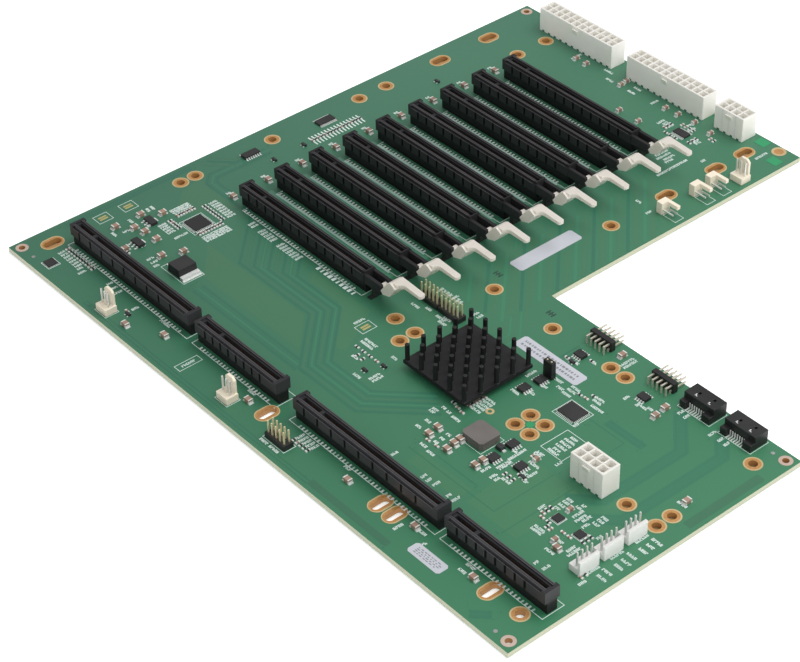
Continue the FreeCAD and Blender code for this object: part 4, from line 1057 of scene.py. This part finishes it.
def make_chip_leads():
    leads = Piece("chip_leads", SOLDER)
    both = (-1, 1)
    for low, high in islands("chip_packages"):
        low = [low[0], low[1], 0.0]
        high = [high[0], high[1], high[2] - DECK]
        length = high[0] - low[0]
        width = high[1] - low[1]
        large = min(length, width) > LARGE_CHIP
        if large or abs(length - width) < SQUARE_PLAY:
            for along_x in (True, False):
                leads_along(leads, low, high, along_x, both, *(LARGE_LEADS if large else FLAT_LEADS))
        elif length > width and length > POWER_CHIP_LENGTH and high[2] > POWER_CHIP_HEIGHT:
            leads_along(leads, low, high, True, (-1,), *POWER_LEADS)
            leads.block((low[0] + high[0]) / 2, high[1] + POWER_TAB[1] / 2, 0.0, *POWER_TAB)
        else:
            pitch = TALL_PITCH if high[2] > TALL_CHIP else THIN_PITCH
            leads_along(leads, low, high, length > width, both, pitch, SIDE_REACH, pitch * 0.5)
    low, high = [[part / MM for part in corner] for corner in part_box("power_regulator")]
    y = (low[1] + high[1]) / 2
    width = high[1] - low[1]
    for side in (-1, 1):
        leads.block(low[0] - LEG_OUT, y + side * LEG_OFFSET, 0.0, *LEG_SIZE)
    for out, length, play, height in TAB_PARTS:
        leads.block(high[0] + out, y, 0.0, length, width + play, height)
    leads.finish()


# Small parts: a body's size along, across and up with its top's draft, and ends with place, size and draft
SMALL_BODY = ((2.6, 1.9, 1.6), 0.1)
SMALL_ENDS = [(1.25, (0.6, 2.0, 1.65), 0.08), (1.8, (0.6, 1.9, 0.4), 0.2)]
RESISTOR_BODY = ((1.1, 1.0, 0.55), 0.03)
RESISTOR_FOOT = 0.02
RESISTOR_ENDS = [(0.85, (0.85, 1.15, 0.55), 0.06)]
DIODE_BODY = ((3.4, 2.6, 1.7), 0.1)
DIODE_ENDS = [(2.2, (1.2, 1.6, 0.5), 0.08)]
TRANSISTOR_BODY = ((2.9, 1.4, 1.0), 0.08)
TRANSISTOR_LEGS = [(-0.95, -1.0), (0.95, -1.0), (0.0, 1.0)]
TRANSISTOR_LEG = (0.45, 0.8, 0.25)
# Height of a diode's or transistor's body above the board
BODY_FOOT = 0.1
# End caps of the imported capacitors, which cover them by a little, and the solder at their feet
CAP_IN = 0.3
CAP_LENGTH = 0.66
CAP_PLAY = 0.06
CAP_RISE = 0.03
FILLET_LENGTH = 0.7
FILLET_HEIGHT = 0.4


def add_body(piece, x, y, foot, body, along_x, material):
    size, inset = body
    piece.lay(x, y, foot, 0.0, size, along_x, material, inset)


def add_ends(piece, x, y, ends, along_x):
    for side in (-1, 1):
        for place, size, inset in ends:
            piece.lay(x, y, 0.0, side * place, size, along_x, SOLDER, inset)


def make_small_parts():
    """Capacitor end caps, small capacitors, chip resistors, the diode and transistors with their solder."""
    terminals = Piece("part_terminals", SOLDER, TIN)
    bodies = Piece("chip_resistors", RESISTOR, TAN)
    for low, high in islands("capacitors"):
        length = high[0] - low[0]
        width = high[1] - low[1]
        reach = max(length, width) / 2
        across_it = min(length, width)
        cap = (CAP_LENGTH, across_it + CAP_PLAY, high[2] - DECK + CAP_RISE)
        fillet = (FILLET_LENGTH, across_it, FILLET_HEIGHT)
        ends = [(reach - CAP_IN, cap, 0.05), (reach + CAP_IN, fillet, 0.2)]
        add_ends(terminals, *middle(low, high), ends, length > width)
    for x, y in SMALL_CAPACITORS:
        add_body(bodies, x, y, 0.0, SMALL_BODY, False, TAN)
        add_ends(terminals, x, y, SMALL_ENDS, False)
    for x, y, step_x, step_y, count, along_x in RESISTOR_ROWS:
        for index in range(count):
            spot = (x + step_x * index, y + step_y * index)
            finish = ink.choice((RESISTOR, RESISTOR, TAN))
            add_body(bodies, *spot, RESISTOR_FOOT, RESISTOR_BODY, along_x, finish)
            add_ends(terminals, *spot, RESISTOR_ENDS, along_x)
    add_body(bodies, *DIODE, BODY_FOOT, DIODE_BODY, True, RESISTOR)
    add_ends(terminals, *DIODE, DIODE_ENDS, True)
    for x, y in TRANSISTORS:
        add_body(bodies, x, y, BODY_FOOT, TRANSISTOR_BODY, True, RESISTOR)
        for leg_x, leg_y in TRANSISTOR_LEGS:
            terminals.block(x + leg_x, y + leg_y, 0.0, *TRANSISTOR_LEG)
    terminals.finish()
    bodies.finish()


# Leads of a disk socket: number, pitch, sideways shift, and each part's place, foot and size
DISK_LEADS = 7
DISK_PITCH = 1.27
DISK_SHIFT = -0.6
DISK_LEAD_PARTS = [(0.9, 0.0, (0.6, 2.4, 0.25)), (2.2, 0.25, (0.6, 0.25, 2.4))]
# Metal clips in its top: place and depth, then the shift and size of the clip and its side bar
CLIP_OFFSET = 3.6
CLIP_BACK = 0.6
CLIP_DEPTH = 0.3
CLIP_PARTS = [(0.0, 0.0, (0.5, 1.3, 0.32)), (0.5, -0.5, (1.2, 0.4, 0.32))]


def make_socket_leads():
    """Leads between the arms of the disk sockets, and the metal clips on top."""
    leads = Piece("disk_socket_leads", SOLDER)
    for name in ("disk_socket_1", "disk_socket_2"):
        low, high = [[part / MM for part in corner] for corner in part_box(name)]
        centre_x, centre_y = middle(low, high)
        for index in range(DISK_LEADS):
            x = centre_x + DISK_SHIFT + DISK_PITCH * (index - DISK_LEADS // 2)
            for place, foot, size in DISK_LEAD_PARTS:
                leads.block(x, low[1] + place, foot, *size)
        for side in (-1, 1):
            x = centre_x + side * CLIP_OFFSET
            y = centre_y - CLIP_BACK
            for shift_x, shift_y, size in CLIP_PARTS:
                leads.block(x + shift_x, y + shift_y, high[2] - DECK - CLIP_DEPTH, *size)
    leads.finish()


# Power sockets: pitch of their ways, first way from the end, depth of the skirt, and the painted shade of the
# gap between two feet and of the ribs
POWER_PITCH = 4.2
FIRST_WAY = 2.7
SKIRT_DEPTH = 1.0
FOOT_GAP_SHADE = (1.5, 0.1, 0.9)
SIDE_RIB_FOOT = 1.0
SIDE_RIB_SHADE = (0.3, 0.06, 11.2)


def make_socket_feet():
    """Painted shade: dark green sheets for the gap between each two feet along the lower edges of the power
    sockets, and greyer strips for the ribs on the small ones' sides.
    """
    gap_shades = Piece("power_socket_gap_shades", GAP, FAN_WHITE)
    for name in ("main_power_socket_1", "main_power_socket_2", "aux_power_socket_1", "aux_power_socket_2"):
        low, high = [[part / MM for part in corner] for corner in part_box(name)]
        ways = round((high[0] - low[0] - 2 * FIRST_WAY) / POWER_PITCH) + 1
        y = low[1] + SKIRT_DEPTH
        # Painted shade: a dark green sheet for the gap between two feet, and a greyer strip for each rib
        for index in range(ways):
            x = low[0] + FIRST_WAY + POWER_PITCH * index
            gap_shades.block(x, y, 0.0, *FOOT_GAP_SHADE)
            if name.startswith("aux") and index:
                gap_shades.block(x - POWER_PITCH / 2, y, SIDE_RIB_FOOT, *SIDE_RIB_SHADE, FAN_WHITE)
    gap_shades.finish()


# Stripes on a label: rows on a short and on a long one, their share of its width, margins and dashes
SHORT_LABEL = 30.0
SHORT_ROWS = 4
LONG_ROWS = 2
ROWS_SHARE = 0.62
DASH_SHARE = 0.30
DASH_HEIGHT = 0.01
LABEL_START = 2.5
LABEL_END = 3.0
DASH_LENGTHS = (0.5, 1.6)
DASH_GAPS = (0.4, 0.9)


def make_label_stripes():
    """Plain grey stripes on two of the labels."""
    stripes = Piece("label_stripes", STRIPE)
    for low, high in islands("labels"):
        length = high[0] - low[0]
        width = high[1] - low[1]
        top = high[2] - DECK
        if length < width:
            continue
        rows = SHORT_ROWS if length < SHORT_LABEL else LONG_ROWS
        for line in range(rows):
            y = (low[1] + high[1]) / 2 + (line - (rows - 1) / 2) * width * ROWS_SHARE / rows
            reach = low[0] + LABEL_START
            while reach < high[0] - LABEL_END:
                dash = ink.uniform(*DASH_LENGTHS)
                stripes.block(reach + dash / 2, y, top, dash, width * DASH_SHARE / rows, DASH_HEIGHT)
                reach += dash + ink.uniform(*DASH_GAPS)
    stripes.finish()


# Vias: how far they scatter round a track's end, their number for each track, radius and margins
VIA_SCATTER = 4
VIAS_PER_TRACK = 2
VIA_RADIUS = 0.3
VIA_EDGE_MARGIN = 1.5
VIA_HOLE_MARGIN = 0.4


def make_vias():
    """Tented vias: small dimples of mask at the ends of the tracks."""
    vias = Piece("vias", GAP)
    for route, count, *looks in BUNDLES:
        for corner in (route[0], route[-1]):
            for index in range(count * VIAS_PER_TRACK):
                x = corner[0] + ink.uniform(-VIA_SCATTER, VIA_SCATTER)
                y = corner[1] + ink.uniform(-VIA_SCATTER, VIA_SCATTER)
                if on_board(x, y, VIA_EDGE_MARGIN) and clear_of_holes(x, y, RIM_RADIUS + VIA_HOLE_MARGIN):
                    vias.disc(x, y, VIA_LEVEL, VIA_RADIUS)
    vias.finish()


make_rings()
make_traces()
make_silk()
make_pads()
make_slot_leads()
make_chip_leads()
make_small_parts()
make_socket_leads()
make_socket_feet()
make_label_stripes()
make_vias()


# Studio: pale floor, soft light and a camera at the photo's angle

PAPER_ROUGHNESS = 0.9
# Half of the floor's side, and how far below the part the floor and the shade on it lie, in metres
FLOOR_REACH = 4.0
FLOOR_LEVEL = -0.0004
SHADE_LEVEL = -0.0002
# The shade leaves out the front right corner, where the floor shows through the holes, and the edges
LIT_X = -20.0
LIT_Y = -132.0
SHADE_INSET = 2.0
SHADE_MIDDLE = (-60.0, -60.0)


def flat_sheet(name, corners, level, material):
    mesh = bpy.data.meshes.new(name)
    mesh.from_pydata([(x, y, 0) for x, y in corners], [], [tuple(range(len(corners)))])
    mesh.materials.append(material)
    sheet = bpy.data.objects.new(name, mesh)
    sheet.location.z = level
    bpy.context.collection.objects.link(sheet)
    return sheet


def make_floor():
    material, tree, shader = new_material("studio_floor")
    shader.inputs["Base Color"].default_value = (0.92, 0.92, 0.92, 1)
    shader.inputs["Roughness"].default_value = PAPER_ROUGHNESS
    shader.inputs["Emission Color"].default_value = (1, 1, 1, 1)
    shader.inputs["Emission Strength"].default_value = 0.35
    corners = [(-FLOOR_REACH, -FLOOR_REACH), (FLOOR_REACH, -FLOOR_REACH)]
    corners += [(FLOOR_REACH, FLOOR_REACH), (-FLOOR_REACH, FLOOR_REACH)]
    floor = flat_sheet("floor", corners, FLOOR_LEVEL, material)


def make_shade():
    """Painted shadow under the board: a dim sheet on the floor, seen through its holes."""
    material, tree, shader = new_material("shade_under_board")
    shader.inputs["Base Color"].default_value = (0.34, 0.22, 0.11, 1)
    shader.inputs["Roughness"].default_value = PAPER_ROUGHNESS
    outline = [(LEFT, FRONT), (LIT_X, FRONT), (LIT_X, LIT_Y), (RIGHT, LIT_Y)]
    outline += [(RIGHT, NOTCH_Y), (NOTCH_X, NOTCH_Y), (NOTCH_X, BACK), (LEFT, BACK)]
    corners = []
    for x, y in outline:
        inner_x = x + math.copysign(SHADE_INSET, SHADE_MIDDLE[0] - x)
        inner_y = y + math.copysign(SHADE_INSET, SHADE_MIDDLE[1] - y)
        corners.append((inner_x * MM, inner_y * MM))
    under = flat_sheet("under_shade", corners, SHADE_LEVEL, material)


def soft_light(name, place, size, power):
    lamp = bpy.data.lights.new(name, "AREA")
    lamp.shape = "RECTANGLE"
    lamp.size = size[0]
    lamp.size_y = size[1]
    lamp.energy = power
    item = bpy.data.objects.new(name, lamp)
    item.location = place
    item.rotation_euler = (-Vector(place)).to_track_quat("-Z", "Y").to_euler()
    bpy.context.collection.objects.link(item)


# The camera's turn, tilt and roll, its place and its focal length
AZIMUTH = math.radians(50.52)
ELEVATION = math.radians(38.41)
ROLL = math.radians(1.36)
CAMERA_PLACE = (588.9, -553.9, 610.4)
LENS = 103.2


def make_camera():
    camera = bpy.data.cameras.new("camera")
    camera.lens = LENS
    camera.sensor_width = 36.0
    camera.clip_end = 20.0
    item = bpy.data.objects.new("camera", camera)
    level_reach = math.cos(ELEVATION)
    heading = (-math.sin(AZIMUTH) * level_reach, math.cos(AZIMUTH) * level_reach)
    forward = Vector((*heading, -math.sin(ELEVATION)))
    level = forward.cross(Vector((0, 0, 1))).normalized()
    right = math.cos(ROLL) * level + math.sin(ROLL) * forward.cross(level)
    turn = Matrix((right, right.cross(forward), -forward)).transposed()
    item.matrix_world = Matrix.Translation(Vector(CAMERA_PLACE) * MM) @ turn.to_4x4()
    bpy.context.collection.objects.link(item)
    bpy.context.scene.camera = item


make_floor()
make_shade()
world = bpy.data.worlds.new("studio")
world.use_nodes = True
background = world.node_tree.nodes["Background"]
background.inputs["Color"].default_value = (0.97, 0.985, 1.0, 1)
background.inputs["Strength"].default_value = 0.55
bpy.context.scene.world = world
soft_light("key", (0.3, 0.5, 1.3), (1.0, 1.0), 14)
soft_light("fill", (0.9, -0.5, 0.8), (0.9, 0.9), 5)
bpy.context.scene.view_settings.view_transform = "Standard"
make_camera()
